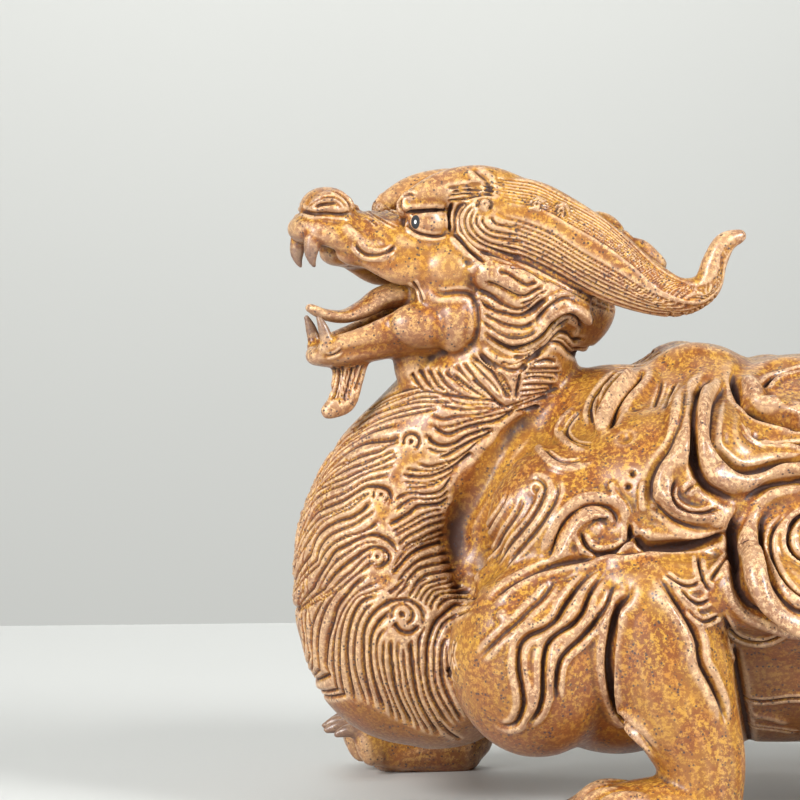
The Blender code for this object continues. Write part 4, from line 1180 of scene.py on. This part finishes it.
def curl(across, down, reach, start):
    """A spiral in pixels, from its outer end to its middle."""
    rows = []
    for t in np.linspace(0, 1, CURL_POINTS):
        radius = reach * (1 - CURL_INWARD * t)
        angle = math.radians(start) + CURL_TURNS * 2 * math.pi * t
        rows.append((across + radius * math.cos(angle), down + radius * math.sin(angle)))
    return rows


def fold_clay(figure):
    """Folds the clay of the shell, the limbs and the head, and runs it a little smooth."""
    skin = Skin(figure.data)
    lift = np.zeros(len(skin.points))
    for folds, frame_of in ((SHELL_FOLDS, body_frame), (LIMB_FOLDS, body_frame),
                            (HEAD_FOLDS, head_frame)):
        for depth, left, right, drawn in folds:
            fold_in(skin, lift, pixels(drawn), frame_of, depth, left, right)
    for drawn in REAR_CURLS:
        fold_in(skin, lift, pixels(curl(*drawn)), body_frame, *REAR_CURL_FOLD)
    for dimples, frame_of in ((SHELL_DIMPLES, body_frame), (HEAD_DIMPLES, head_frame)):
        for across, down, reach, rise in dimples:
            dimple_in(skin, lift, (across, down), frame_of, reach, rise)
    skin.shift(lift)
    run_smooth(figure, FOLD_ROUNDS)


def groove_in(skin, sink, line, depth, half):
    """Sinks a fine groove between two rounded ridges. Half the width may be one number or a row."""
    widest = float(np.max(half))
    ids, away, along, _ = reach_of(skin, line, widest)
    half = np.interp(along, np.linspace(0, 1, np.size(half)), np.atleast_1d(half))
    ends = smooth_step(np.minimum(along, 1 - along) * GROOVE_ENDS[0] + GROOVE_ENDS[1])
    near = np.clip(1 - away / half, 0, 1)
    fall = ROUND_SHARE * (1 - np.sqrt(1 - near ** 2)) + SOFT_SHARE * near ** GROOVE_FALL
    sink[ids] = np.maximum(sink[ids], depth * (half / widest) ** NARROW_FALL * fall * ends)


def round_front(skin, left, right):
    """The line that joins the front ends of a strand and of its mirror image, around the throat."""
    start, end = Vector(left[0]), Vector(right[0])
    rows = [Vector(point) for point in left[OVERLAP:0:-1]]
    for t in np.linspace(0, 1, FRONT_POINTS):
        aim = start.lerp(end, t) + FRONT_BULGE * (4 * t * (1 - t))
        rows.append(skin.tree.find_nearest(aim)[0])
    rows += [Vector(point) for point in right[1:OVERLAP + 1]]
    return evenly(np.array(rows), STROKE_STEP)


def nape_line(skin, aside):
    """A strand that falls over the nape, in the middle of the head or so far beside it."""
    rows = []
    for angle in np.linspace(*NAPE_ARC, NAPE_POINTS):
        wave = NAPE_WAVE * math.sin(NAPE_WAVES * angle + aside)
        aim = Vector(NAPE) + Vector((NAPE_REACH * math.cos(angle), aside + wave,
                                     NAPE_DROP * math.sin(angle)))
        rows.append(skin.tree.find_nearest(head_frame(1) @ aim)[0])
    return evenly(np.array(rows), STROKE_STEP)


def comb(figure, sizes):
    """Combs the hair: every strand is a rounded ridge between two fine grooves."""
    skin = Skin(figure.data)
    sink = np.zeros(len(skin.points))
    fine = sizes.comb_depth, sizes.strand
    bold = BOLD * sizes.comb_depth, BOLD * sizes.strand
    horn = HORN_DEPTH * fine[0], HORN_WIDTH * fine[1]
    for lines, frame_of, (depth, half) in (
            (NECK_BOLD, body_frame, bold), (NECK_FINE, body_frame, fine),
            (MANE_BOLD, body_frame, bold), (MANE_FINE, body_frame, fine),
            (LOCK_BOLD, head_frame, bold), (LOCK_FINE, head_frame, fine),
            (HORN_FINE, head_frame, horn)):
        for drawn in lines:
            traced = skin.traced(pixels(drawn), frame_of)
            if lines in (NECK_BOLD, NECK_FINE) and drawn[0][0] < FRONT_END:
                traced.append(round_front(skin, *traced))
            for line in traced:
                groove_in(skin, sink, line, depth, half)
    for aside in NAPE_STRANDS:
        groove_in(skin, sink, nape_line(skin, aside), *fine)
    for count, *guides in HORN_SHEAVES:
        left = [[skin.seen(*point) for point in strand] for strand in strands_of(count, guides)]
        right = [skin.mirrored(strand, head_frame) for strand in left]
        for strands in (np.array(left), np.array(right)):
            room = np.linalg.norm(np.diff(strands, axis=0), axis=2)
            room = np.vstack((room[:1], room, room[-1:]))
            room = np.clip(np.minimum(room[:-1], room[1:]) / 2, *SHEAF_HALF)
            for line, half in zip(strands, room):
                groove_in(skin, sink, line, SHEAF_DEPTH * sizes.comb_depth, half)
    for across, down, reach in WHORLS:
        frame_of = head_frame if down < HEAD_ROWS else body_frame
        for line in skin.traced(pixels(ring(across, down, reach)), frame_of):
            groove_in(skin, sink, line, sizes.comb_depth, RING_HALF * reach)
        for line in skin.traced(pixels(((across, down), (across + 1, down))), frame_of):
            ids, away = reach_of(skin, line[:1], RING_EYE * reach)[:2]
            eye = RING_EYE_DEPTH * (1 - smooth_step(away / (RING_EYE * reach)))
            sink[ids] = np.maximum(sink[ids], eye)
    skin.shift(-sink)


def horny_of(figure):
    """How much each vertex belongs to a fang or a claw, from 0 to 1."""
    skin = Skin(figure.data)
    rolls = [(head_frame(side), fang) for side in (1, -1) for fang in FANGS]
    rolls += [(body_frame(side), claw_of(ankle, aside, toe, lift))
              for side, ankle, aside, lift in feet() for toe in range(TOES)]
    horny = np.zeros(len(skin.points))
    for frame, stations in rolls:
        line = np.array([frame @ Vector(row[:3]) for row in run_through(stations)])
        ids, away, along = reach_of(skin, line, HORNY_REACH)[:3]
        share = smooth_step(along / HORNY_FADE) * (1 - smooth_step(away / HORNY_REACH * 2 - 1))
        horny[ids] = np.maximum(horny[ids], share)
    return horny


def relief_of(figure):
    """How far each vertex stands proud of the clay close around it and farther around, for painted
    highlight and shade.
    """
    points, normals = (rows_of(figure.data.vertices, name) for name in ("co", "normal"))
    proud = []
    soft = figure.modifiers.new("Soften", "SMOOTH")
    soft.factor = 1.0
    for rounds in RELIEF_ROUNDS:
        soft.iterations = rounds
        melted = figure.evaluated_get(bpy.context.evaluated_depsgraph_get())
        proud.append(((points - rows_of(melted.data.vertices, "co")) * normals).sum(1))
    figure.modifiers.clear()
    return proud


def write_values(mesh, name, values):
    """Stores one number for each vertex under a name."""
    layer = mesh.attributes.new(name, "FLOAT", "POINT")
    layer.data.foreach_set("value", np.asarray(values, np.float32))


class Shade:
    """One output of a node. Python's operators on it add Math nodes."""

    def __init__(self, glaze, socket):
        self.glaze = glaze
        self.socket = socket

    def reckon(self, operation, first, second):
        """A Math node of two values."""
        return self.glaze.node("ShaderNodeMath", {"operation": operation}, {0: first, 1: second})

    def __add__(self, other):
        return self.reckon("ADD", self, other)

    def __radd__(self, other):
        return self.reckon("ADD", other, self)

    def __sub__(self, other):
        return self.reckon("SUBTRACT", self, other)

    def __rsub__(self, other):
        return self.reckon("SUBTRACT", other, self)

    def __mul__(self, other):
        return self.reckon("MULTIPLY", self, other)

    def __rmul__(self, other):
        return self.reckon("MULTIPLY", other, self)

    def ramp(self, low, high):
        """0 below the low value and 1 above the high one, with a smooth step between."""
        return self.glaze.node("ShaderNodeMapRange", {"interpolation_type": "SMOOTHSTEP"},
                               {"Value": self, "From Min": low, "From Max": high})


class Glaze:
    """The nodes of one material."""

    def __init__(self, name):
        self.material = bpy.data.materials.new(name)
        self.material.use_nodes = True
        self.tree = self.material.node_tree
        self.shader = self.tree.nodes["Principled BSDF"]

    def node(self, kind, settings, sockets, output=0):
        """Adds a node of any kind, with its settings and then its sockets' values or links."""
        made = self.tree.nodes.new(kind)
        for name, value in settings.items():
            setattr(made, name, value)
        for name, value in sockets.items():
            self.feed(made.inputs[name], value)
        return Shade(self, made.outputs[output])

    def feed(self, socket, value):
        """Links an output to a socket, or sets the socket to a plain value."""
        if isinstance(value, Shade):
            self.tree.links.new(value.socket, socket)
        else:
            socket.default_value = value

    def grain(self, place, size, detail=2.0, roughness=0.5):
        """Cloudy noise with grains of a size in metres, from 0 to 1."""
        return self.node("ShaderNodeTexNoise", {}, {"Vector": place, "Scale": 1 / size,
                                                    "Detail": detail, "Roughness": roughness})

    def vector(self, operation, *values, output=0):
        """A Vector Math node of some values."""
        return self.node("ShaderNodeVectorMath", {"operation": operation},
                         dict(enumerate(values)), output)

    def mix(self, share, first, second):
        """One colour laid over another by a share."""
        return self.node("ShaderNodeMix", {"data_type": "RGBA"}, {0: share, 6: first, 7: second},
                         2)

    def stored(self, name):
        """A number stored on the skin."""
        return self.node("ShaderNodeAttribute", {"attribute_name": name}, {}, "Fac")


def fired_clay(colours, pupils):
    """Speckled ochre clay, redder in patches, with painted shade in the carving and underneath, a
    painted highlight on ridges, and pupils at two places.
    """
    glaze = Glaze("speckled_clay")
    place = glaze.node("ShaderNodeTexCoord", {}, {}, "Object")
    fine, broad = glaze.stored("proud_fine"), glaze.stored("proud_broad")
    patches, warmth, mottle, chance = (
        glaze.grain(place, *grains).ramp(*edges)
        for grains, edges in (PATCHES, WARMTH, MOTTLE, SPECK_CHANCE))
    ridge = fine.ramp(*RIDGE)
    hollow = (broad * -1).ramp(*HOLLOW)
    # Painted shade: dark where the skin lies below the clay close around it and farther around
    sunk = ((fine * -1).ramp(*FINE_CREASE_SHADE) * CREASE_SHADE_SHARES[0]
            + (broad * -1).ramp(*BROAD_CREASE_SHADE) * CREASE_SHADE_SHARES[1])
    dots = glaze.node("ShaderNodeTexVoronoi", {},
                      {"Vector": place, "Scale": 1 / SPECK_SIZE, "Randomness": 1.0}, "Distance")
    gaps = []
    for pupil in pupils:
        gap = glaze.vector("SUBTRACT", place, pupil)
        gap = glaze.vector("MULTIPLY", gap, PUPIL_SHAPE)
        gaps.append(glaze.vector("LENGTH", gap, output="Value"))
    gap = gaps[0].reckon("MINIMUM", *gaps)
    painted = 1 - gap.ramp(PUPIL_EDGE * PUPIL_REACH, PUPIL_REACH)
    colour = glaze.mix(warmth * (GOLD_SHARES[0] + GOLD_SHARES[1] * patches),
                       colours.gold, colours.ochre)
    for share, laid_on in (
            # Pale clay on the rims and ridges: partly wear, partly a painted highlight
            (broad.ramp(*RIM) * RUBBED_HIGHLIGHT_SHARES[0] + ridge * RUBBED_HIGHLIGHT_SHARES[1], colours.rubbed_and_highlight),
            # Rust mottle, more in the redder patches, with a little more in the broad hollows as
            # painted shade
            (mottle * (RUST_SHARES[0] + RUST_SHARES[1] * patches + RUST_SHARES[2] * hollow),
             colours.rust_and_under_shade),
            # Painted shade: the red-brown laid on where the skin faces down
            (glaze.stored("facing_down").ramp(*UNDER_SHADE) * UNDER_SHADE_SHARE, colours.rust_and_under_shade),
            # More pale clay on the fine ridges, less on broad rims: partly wear, partly a painted
            # highlight
            (ridge * (RIDGE_HIGHLIGHT_SHARES[0] - RIDGE_HIGHLIGHT_SHARES[1] * broad.ramp(*ROUND_RIM)),
             colours.rubbed_and_highlight),
            # Painted shade in the creases
            (sunk, colours.sunk),
            ((1 - dots.ramp(*SPECK_EDGE)) * chance * SPECK_SHARE, colours.speck),
            (glaze.stored("horny") * HORNY_SHARE, colours.claw),
            (painted, colours.pupil),
            (1 - gap.ramp(*(edge * PUPIL_REACH for edge in GLINT_EDGE)), colours.glint)):
        colour = glaze.mix(share, colour, laid_on)
    glaze.feed(glaze.shader.inputs["Base Color"], colour)
    glaze.feed(glaze.shader.inputs["Roughness"], LEAST_ROUGH + SUNK_ROUGH * sunk
               + MOTTLE_ROUGH * mottle + PAINTED_ROUGH * painted)
    grit = (glaze.grain(place, *FINE_GRIT) * GRIT_SHARES[0]
            + glaze.grain(place, *COARSE_GRIT) * GRIT_SHARES[1])
    bump = glaze.node("ShaderNodeBump", {}, {"Strength": BUMP_STRENGTH, "Distance": BUMP_HEIGHT,
                                             "Height": grit}, "Normal")
    glaze.feed(glaze.shader.inputs["Normal"], bump)
    glaze.shader.inputs["Specular IOR Level"].default_value = SPECULAR
    return glaze.material


def plain_finish(name, colour, roughness):
    """A plain stage finish with a faint cloudiness."""
    glaze = Glaze(name)
    place = glaze.node("ShaderNodeTexCoord", {}, {}, "Object")
    cloud = glaze.grain(place, *STAGE_CLOUD)
    shade = [STAGE_SHADE * part for part in colour[:3]] + [1.0]
    glaze.feed(glaze.shader.inputs["Base Color"], glaze.mix(cloud, colour, shade))
    glaze.shader.inputs["Roughness"].default_value = roughness
    return glaze.material


def thin_out(figure, most):
    """Leaves at most a number of triangles, closest together where the form turns most."""
    thin = figure.modifiers.new("Thin out", "DECIMATE")
    thin.ratio = min(1.0, most / (2 * len(figure.data.polygons)))
    thin.use_collapse_triangulate = True
    keep_modified(figure)


def cut_flat(clay, place, away):
    """Cuts off what lies on the far side of a plane, and closes the cut."""
    cut = bmesh.ops.bisect_plane(clay, geom=clay.verts[:] + clay.edges[:] + clay.faces[:],
                                 plane_co=place, plane_no=away, clear_outer=True)
    edges = [part for part in cut["geom_cut"] if isinstance(part, bmesh.types.BMEdge)]
    filled = bmesh.ops.holes_fill(clay, edges=edges, sides=0)
    bmesh.ops.triangulate(clay, faces=filled["faces"])


def split(mesh, place, away):
    """Cuts a mesh in two at a plane. The first of the two lies on the side that away points to."""
    halves = []
    for way in (-1, 1):
        clay = bmesh.new()
        clay.from_mesh(mesh)
        cut_flat(clay, Vector(place), Vector(away) * way)
        half = bpy.data.meshes.new(mesh.name)
        clay.to_mesh(half)
        clay.free()
        halves.append(half)
    return halves


def stand(mesh, height):
    """Cuts the soles flat and stands the figure on the ground at its real size, in metres."""
    clay = bmesh.new()
    clay.from_mesh(mesh)
    cut_flat(clay, Vector((0, 0, 0)), Vector((0, 0, -1)))
    clay.to_mesh(mesh)
    clay.free()
    mesh.transform(Matrix.Diagonal(Vector((1, 1, 1, 0)) * height / BROW_TOP + Vector((0, 0, 0, 1)))
                   @ Matrix.Translation(-MIDDLE))


def keep_lay(mesh):
    """Stores the way each vertex faces, so that a cut through the clay doesn't show."""
    layer = mesh.attributes.new("lay", "FLOAT_VECTOR", "POINT")
    layer.data.foreach_set("vector", rows_of(mesh.vertices, "normal").ravel())


def show_lay(mesh):
    """Shades the skin by the stored way it faces."""
    lay = rows_of(mesh.attributes["lay"].data, "vector")
    mesh.shade_smooth()
    mesh.normals_split_custom_set_from_vertices(lay)
    mesh.attributes.remove(mesh.attributes["lay"])


def length(name, description, default, **more):
    """A size property."""
    return bpy.props.FloatProperty(name=name, description=description, default=default, **more)


def tint(name, description, default):
    """A colour property."""
    return bpy.props.FloatVectorProperty(name=name, description=description, default=default,
                                         subtype="COLOR", size=4, min=0.0, max=1.0)


class TeaPetSizes(bpy.types.PropertyGroup):
    height: length("Height", "From the ground to the top of the brow",
                   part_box("dragon_turtle")[1].z, unit="LENGTH")
    grain: length("Grain", "How fine the clay is worked, in millimetres at the real height", 0.34)
    rounds: bpy.props.IntProperty(name="Rounds", description="How often the clay is run smooth",
                                  default=4, min=0)
    strand: length("Strand", "Half the width of a broad strand of hair, in millimetres", 0.9)
    comb_depth: length("Comb depth", "How deep the comb goes between strands, in millimetres", 0.9)
    triangles: bpy.props.IntProperty(name="Triangles", min=1000, default=930000,
                                     description="The most that the figure may have")


class TeaPetColours(bpy.types.PropertyGroup):
    ochre: tint("Ochre", "The clay itself", (0.44, 0.164, 0.029, 1.0))
    gold: tint("Gold", "The yellower clouds in the clay", (0.53, 0.275, 0.042, 1.0))
    # The rust colour is also laid on the undersides as painted shade
    rust_and_under_shade: tint("Rust", "The redder patches", (0.18, 0.048, 0.011, 1.0))
    # The rubbed colour is partly wear and partly a painted highlight on ridges and rims
    rubbed_and_highlight: tint("Rubbed", "The pale edges and ridges", (0.83, 0.58, 0.36, 1.0))
    # The sunk colour is painted shade in the carving
    sunk: tint("Sunk", "The dark bottoms of the carving", (0.048, 0.013, 0.004, 1.0))
    speck: tint("Speck", "The specks of iron", (0.035, 0.026, 0.034, 1.0))
    claw: tint("Claw", "The fangs and the claws", (0.16, 0.095, 0.07, 1.0))
    pupil: tint("Pupil", "The painted pupils", (0.012, 0.012, 0.014, 1.0))
    glint: tint("Glint", "The white dot in each pupil", (0.75, 0.76, 0.76, 1.0))
    floor: tint("Floor", "The pale floor", (0.66, 0.67, 0.65, 1.0))
    wall: tint("Wall", "The pale wall behind", (0.74, 0.75, 0.72, 1.0))


class TEAPET_OT_press_clay(bpy.types.Operator):
    """Presses the masses of the figure together and runs them smooth"""
    bl_idname = "teapet.press_clay"
    bl_label = "Press the clay"

    def execute(self, context):
        figure = press_body(context.scene.teapet_sizes)
        if not figure.data.polygons:
            raise RuntimeError("the clay did not join into a skin")
        return {"FINISHED"}


class TEAPET_OT_carve(bpy.types.Operator):
    """Carves the creases and combs the hair"""
    bl_idname = "teapet.carve"
    bl_label = "Carve and comb"

    def execute(self, context):
        figure = bpy.data.objects[FIGURE]
        fold_clay(figure)
        comb(figure, context.scene.teapet_sizes)
        # How far the skin stands proud, which lays on the painted highlights and the painted shade
        near, far = relief_of(figure)
        write_values(figure.data, "proud_fine", near)
        write_values(figure.data, "proud_broad", far)
        write_values(figure.data, "horny", horny_of(figure))
        # How far the skin faces down, where shade is painted beneath
        write_values(figure.data, "facing_down", -rows_of(figure.data.vertices, "normal")[:, 2])
        return {"FINISHED"}


class TEAPET_OT_part_clay(bpy.types.Operator):
    """Stands the figure up at its real size, cuts it into pieces and colours them"""
    bl_idname = "teapet.part_clay"
    bl_label = "Part the clay"

    def execute(self, context):
        sizes = context.scene.teapet_sizes
        figure = bpy.data.objects[FIGURE]
        thin_out(figure, sizes.triangles)
        stand(figure.data, sizes.height)
        keep_lay(figure.data)
        size = sizes.height / BROW_TOP
        pupils = [(head_frame(side) @ Vector(PUPIL) - MIDDLE) * size for side in (1, -1)]
        clay = fired_clay(context.scene.teapet_colours, pupils)
        for name, mesh in part_figure(figure.data, size):
            piece = bpy.data.objects.new(name, mesh)
            context.scene.collection.objects.link(piece)
            show_lay(mesh)
            mesh.materials.clear()
            mesh.materials.append(clay)
            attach(piece, "root")
            if name == "head":
                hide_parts("dragon_turtle")
        bpy.data.objects.remove(figure, do_unlink=True)
        return {"FINISHED"}


def part_figure(mesh, size):
    """The pieces of the figure, each a closed body with its name, cut along CUTS."""
    pieces = {"figure": mesh}
    for source, first, second, place, away in CUTS:
        place = (Vector(place) - MIDDLE) * size
        pieces[first], pieces[second] = split(pieces.pop(source), place, away)
    return pieces.items()


class TEAPET_OT_stage(bpy.types.Operator):
    """Sets the floor, the wall, the lights and the camera"""
    bl_idname = "teapet.stage"
    bl_label = "Set the stage"

    def execute(self, context):
        colours = context.scene.teapet_colours
        floor_and_wall(colours)
        studio_light()
        size = context.scene.teapet_sizes.height / BROW_TOP
        place_camera((EYE - MIDDLE) * size)
        return {"FINISHED"}


def floor_and_wall(colours):
    """A table top with a soft far edge, and a wall well behind it."""
    for name, roughness, low, high in STAGE_PARTS:
        low, high = Vector(low), Vector(high)
        bpy.ops.mesh.primitive_cube_add(size=1, location=(low + high) / 2, scale=high - low)
        thing = bpy.context.object
        thing.name = name
        choose(thing)
        bpy.ops.object.transform_apply(location=True, rotation=True, scale=True)
        edge = thing.modifiers.new("Edge", "BEVEL")
        edge.width = EDGE
        edge.segments = EDGE_STEPS
        bpy.ops.object.modifier_apply(modifier=edge.name)
        bpy.ops.object.shade_smooth_by_angle(angle=SMOOTH_ANGLE)
        finish = plain_finish(name + "_finish", getattr(colours, name), roughness)
        thing.data.materials.append(finish)


def studio_light():
    """Soft lights at the left, at the right and above, one on the wall, and a dim pale room."""
    for name, place, size, power, aim in LIGHTS:
        bpy.ops.object.light_add(type="AREA", location=place)
        lamp = bpy.context.object
        lamp.name = name
        lamp.data.shape = "DISK"
        lamp.data.size = size
        lamp.data.energy = power
        lamp.rotation_euler = (Vector(aim) - Vector(place)).to_track_quat("-Z", "Y").to_euler()
    room = bpy.data.worlds.new("room")
    room.use_nodes = True
    inputs = room.node_tree.nodes["Background"].inputs
    inputs["Color"].default_value = ROOM_COLOUR
    inputs["Strength"].default_value = ROOM_LIGHT
    bpy.context.scene.world = room


def place_camera(eye):
    """The camera where the photograph was taken from."""
    bpy.ops.object.camera_add(location=eye)
    camera = bpy.context.object
    camera.data.sensor_width = SENSOR
    camera.data.lens = LENS
    camera.data.clip_start = CLIP_START
    look = (SHEET_AWAY + SHEET_RIGHT * math.tan(math.radians(LOOK_ASIDE))
            + Vector((0, 0, math.tan(math.radians(LOOK_UP)))))
    camera.rotation_euler = look.to_track_quat("-Z", "Y").to_euler()
    bpy.context.scene.camera = camera
    bpy.context.scene.view_settings.view_transform = "Standard"


class TEAPET_PT_panel(bpy.types.Panel):
    """The steps of the tea pet's making, in order"""
    bl_label = "Dragon turtle tea pet"
    bl_idname = "TEAPET_PT_panel"
    bl_space_type = "VIEW_3D"
    bl_region_type = "UI"
    bl_category = "Tea pet"

    def draw(self, context):
        for group in (context.scene.teapet_sizes, context.scene.teapet_colours):
            for name in group.__annotations__:
                self.layout.prop(group, name)
        for step in STEPS:
            self.layout.operator(step.bl_idname)


STEPS = (TEAPET_OT_press_clay, TEAPET_OT_carve, TEAPET_OT_part_clay, TEAPET_OT_stage)
CLASSES = (TeaPetSizes, TeaPetColours) + STEPS + (TEAPET_PT_panel,)


def register():
    for each in CLASSES:
        bpy.utils.register_class(each)
    bpy.types.Scene.teapet_sizes = bpy.props.PointerProperty(type=TeaPetSizes)
    bpy.types.Scene.teapet_colours = bpy.props.PointerProperty(type=TeaPetColours)


def unregister():
    del bpy.types.Scene.teapet_sizes
    del bpy.types.Scene.teapet_colours
    for each in reversed(CLASSES):
        bpy.utils.unregister_class(each)


def main():
    register()
    bpy.ops.teapet.press_clay()
    bpy.ops.teapet.carve()
    bpy.ops.teapet.part_clay()
    bpy.ops.teapet.stage()


if __name__ == "__main__":
    main()
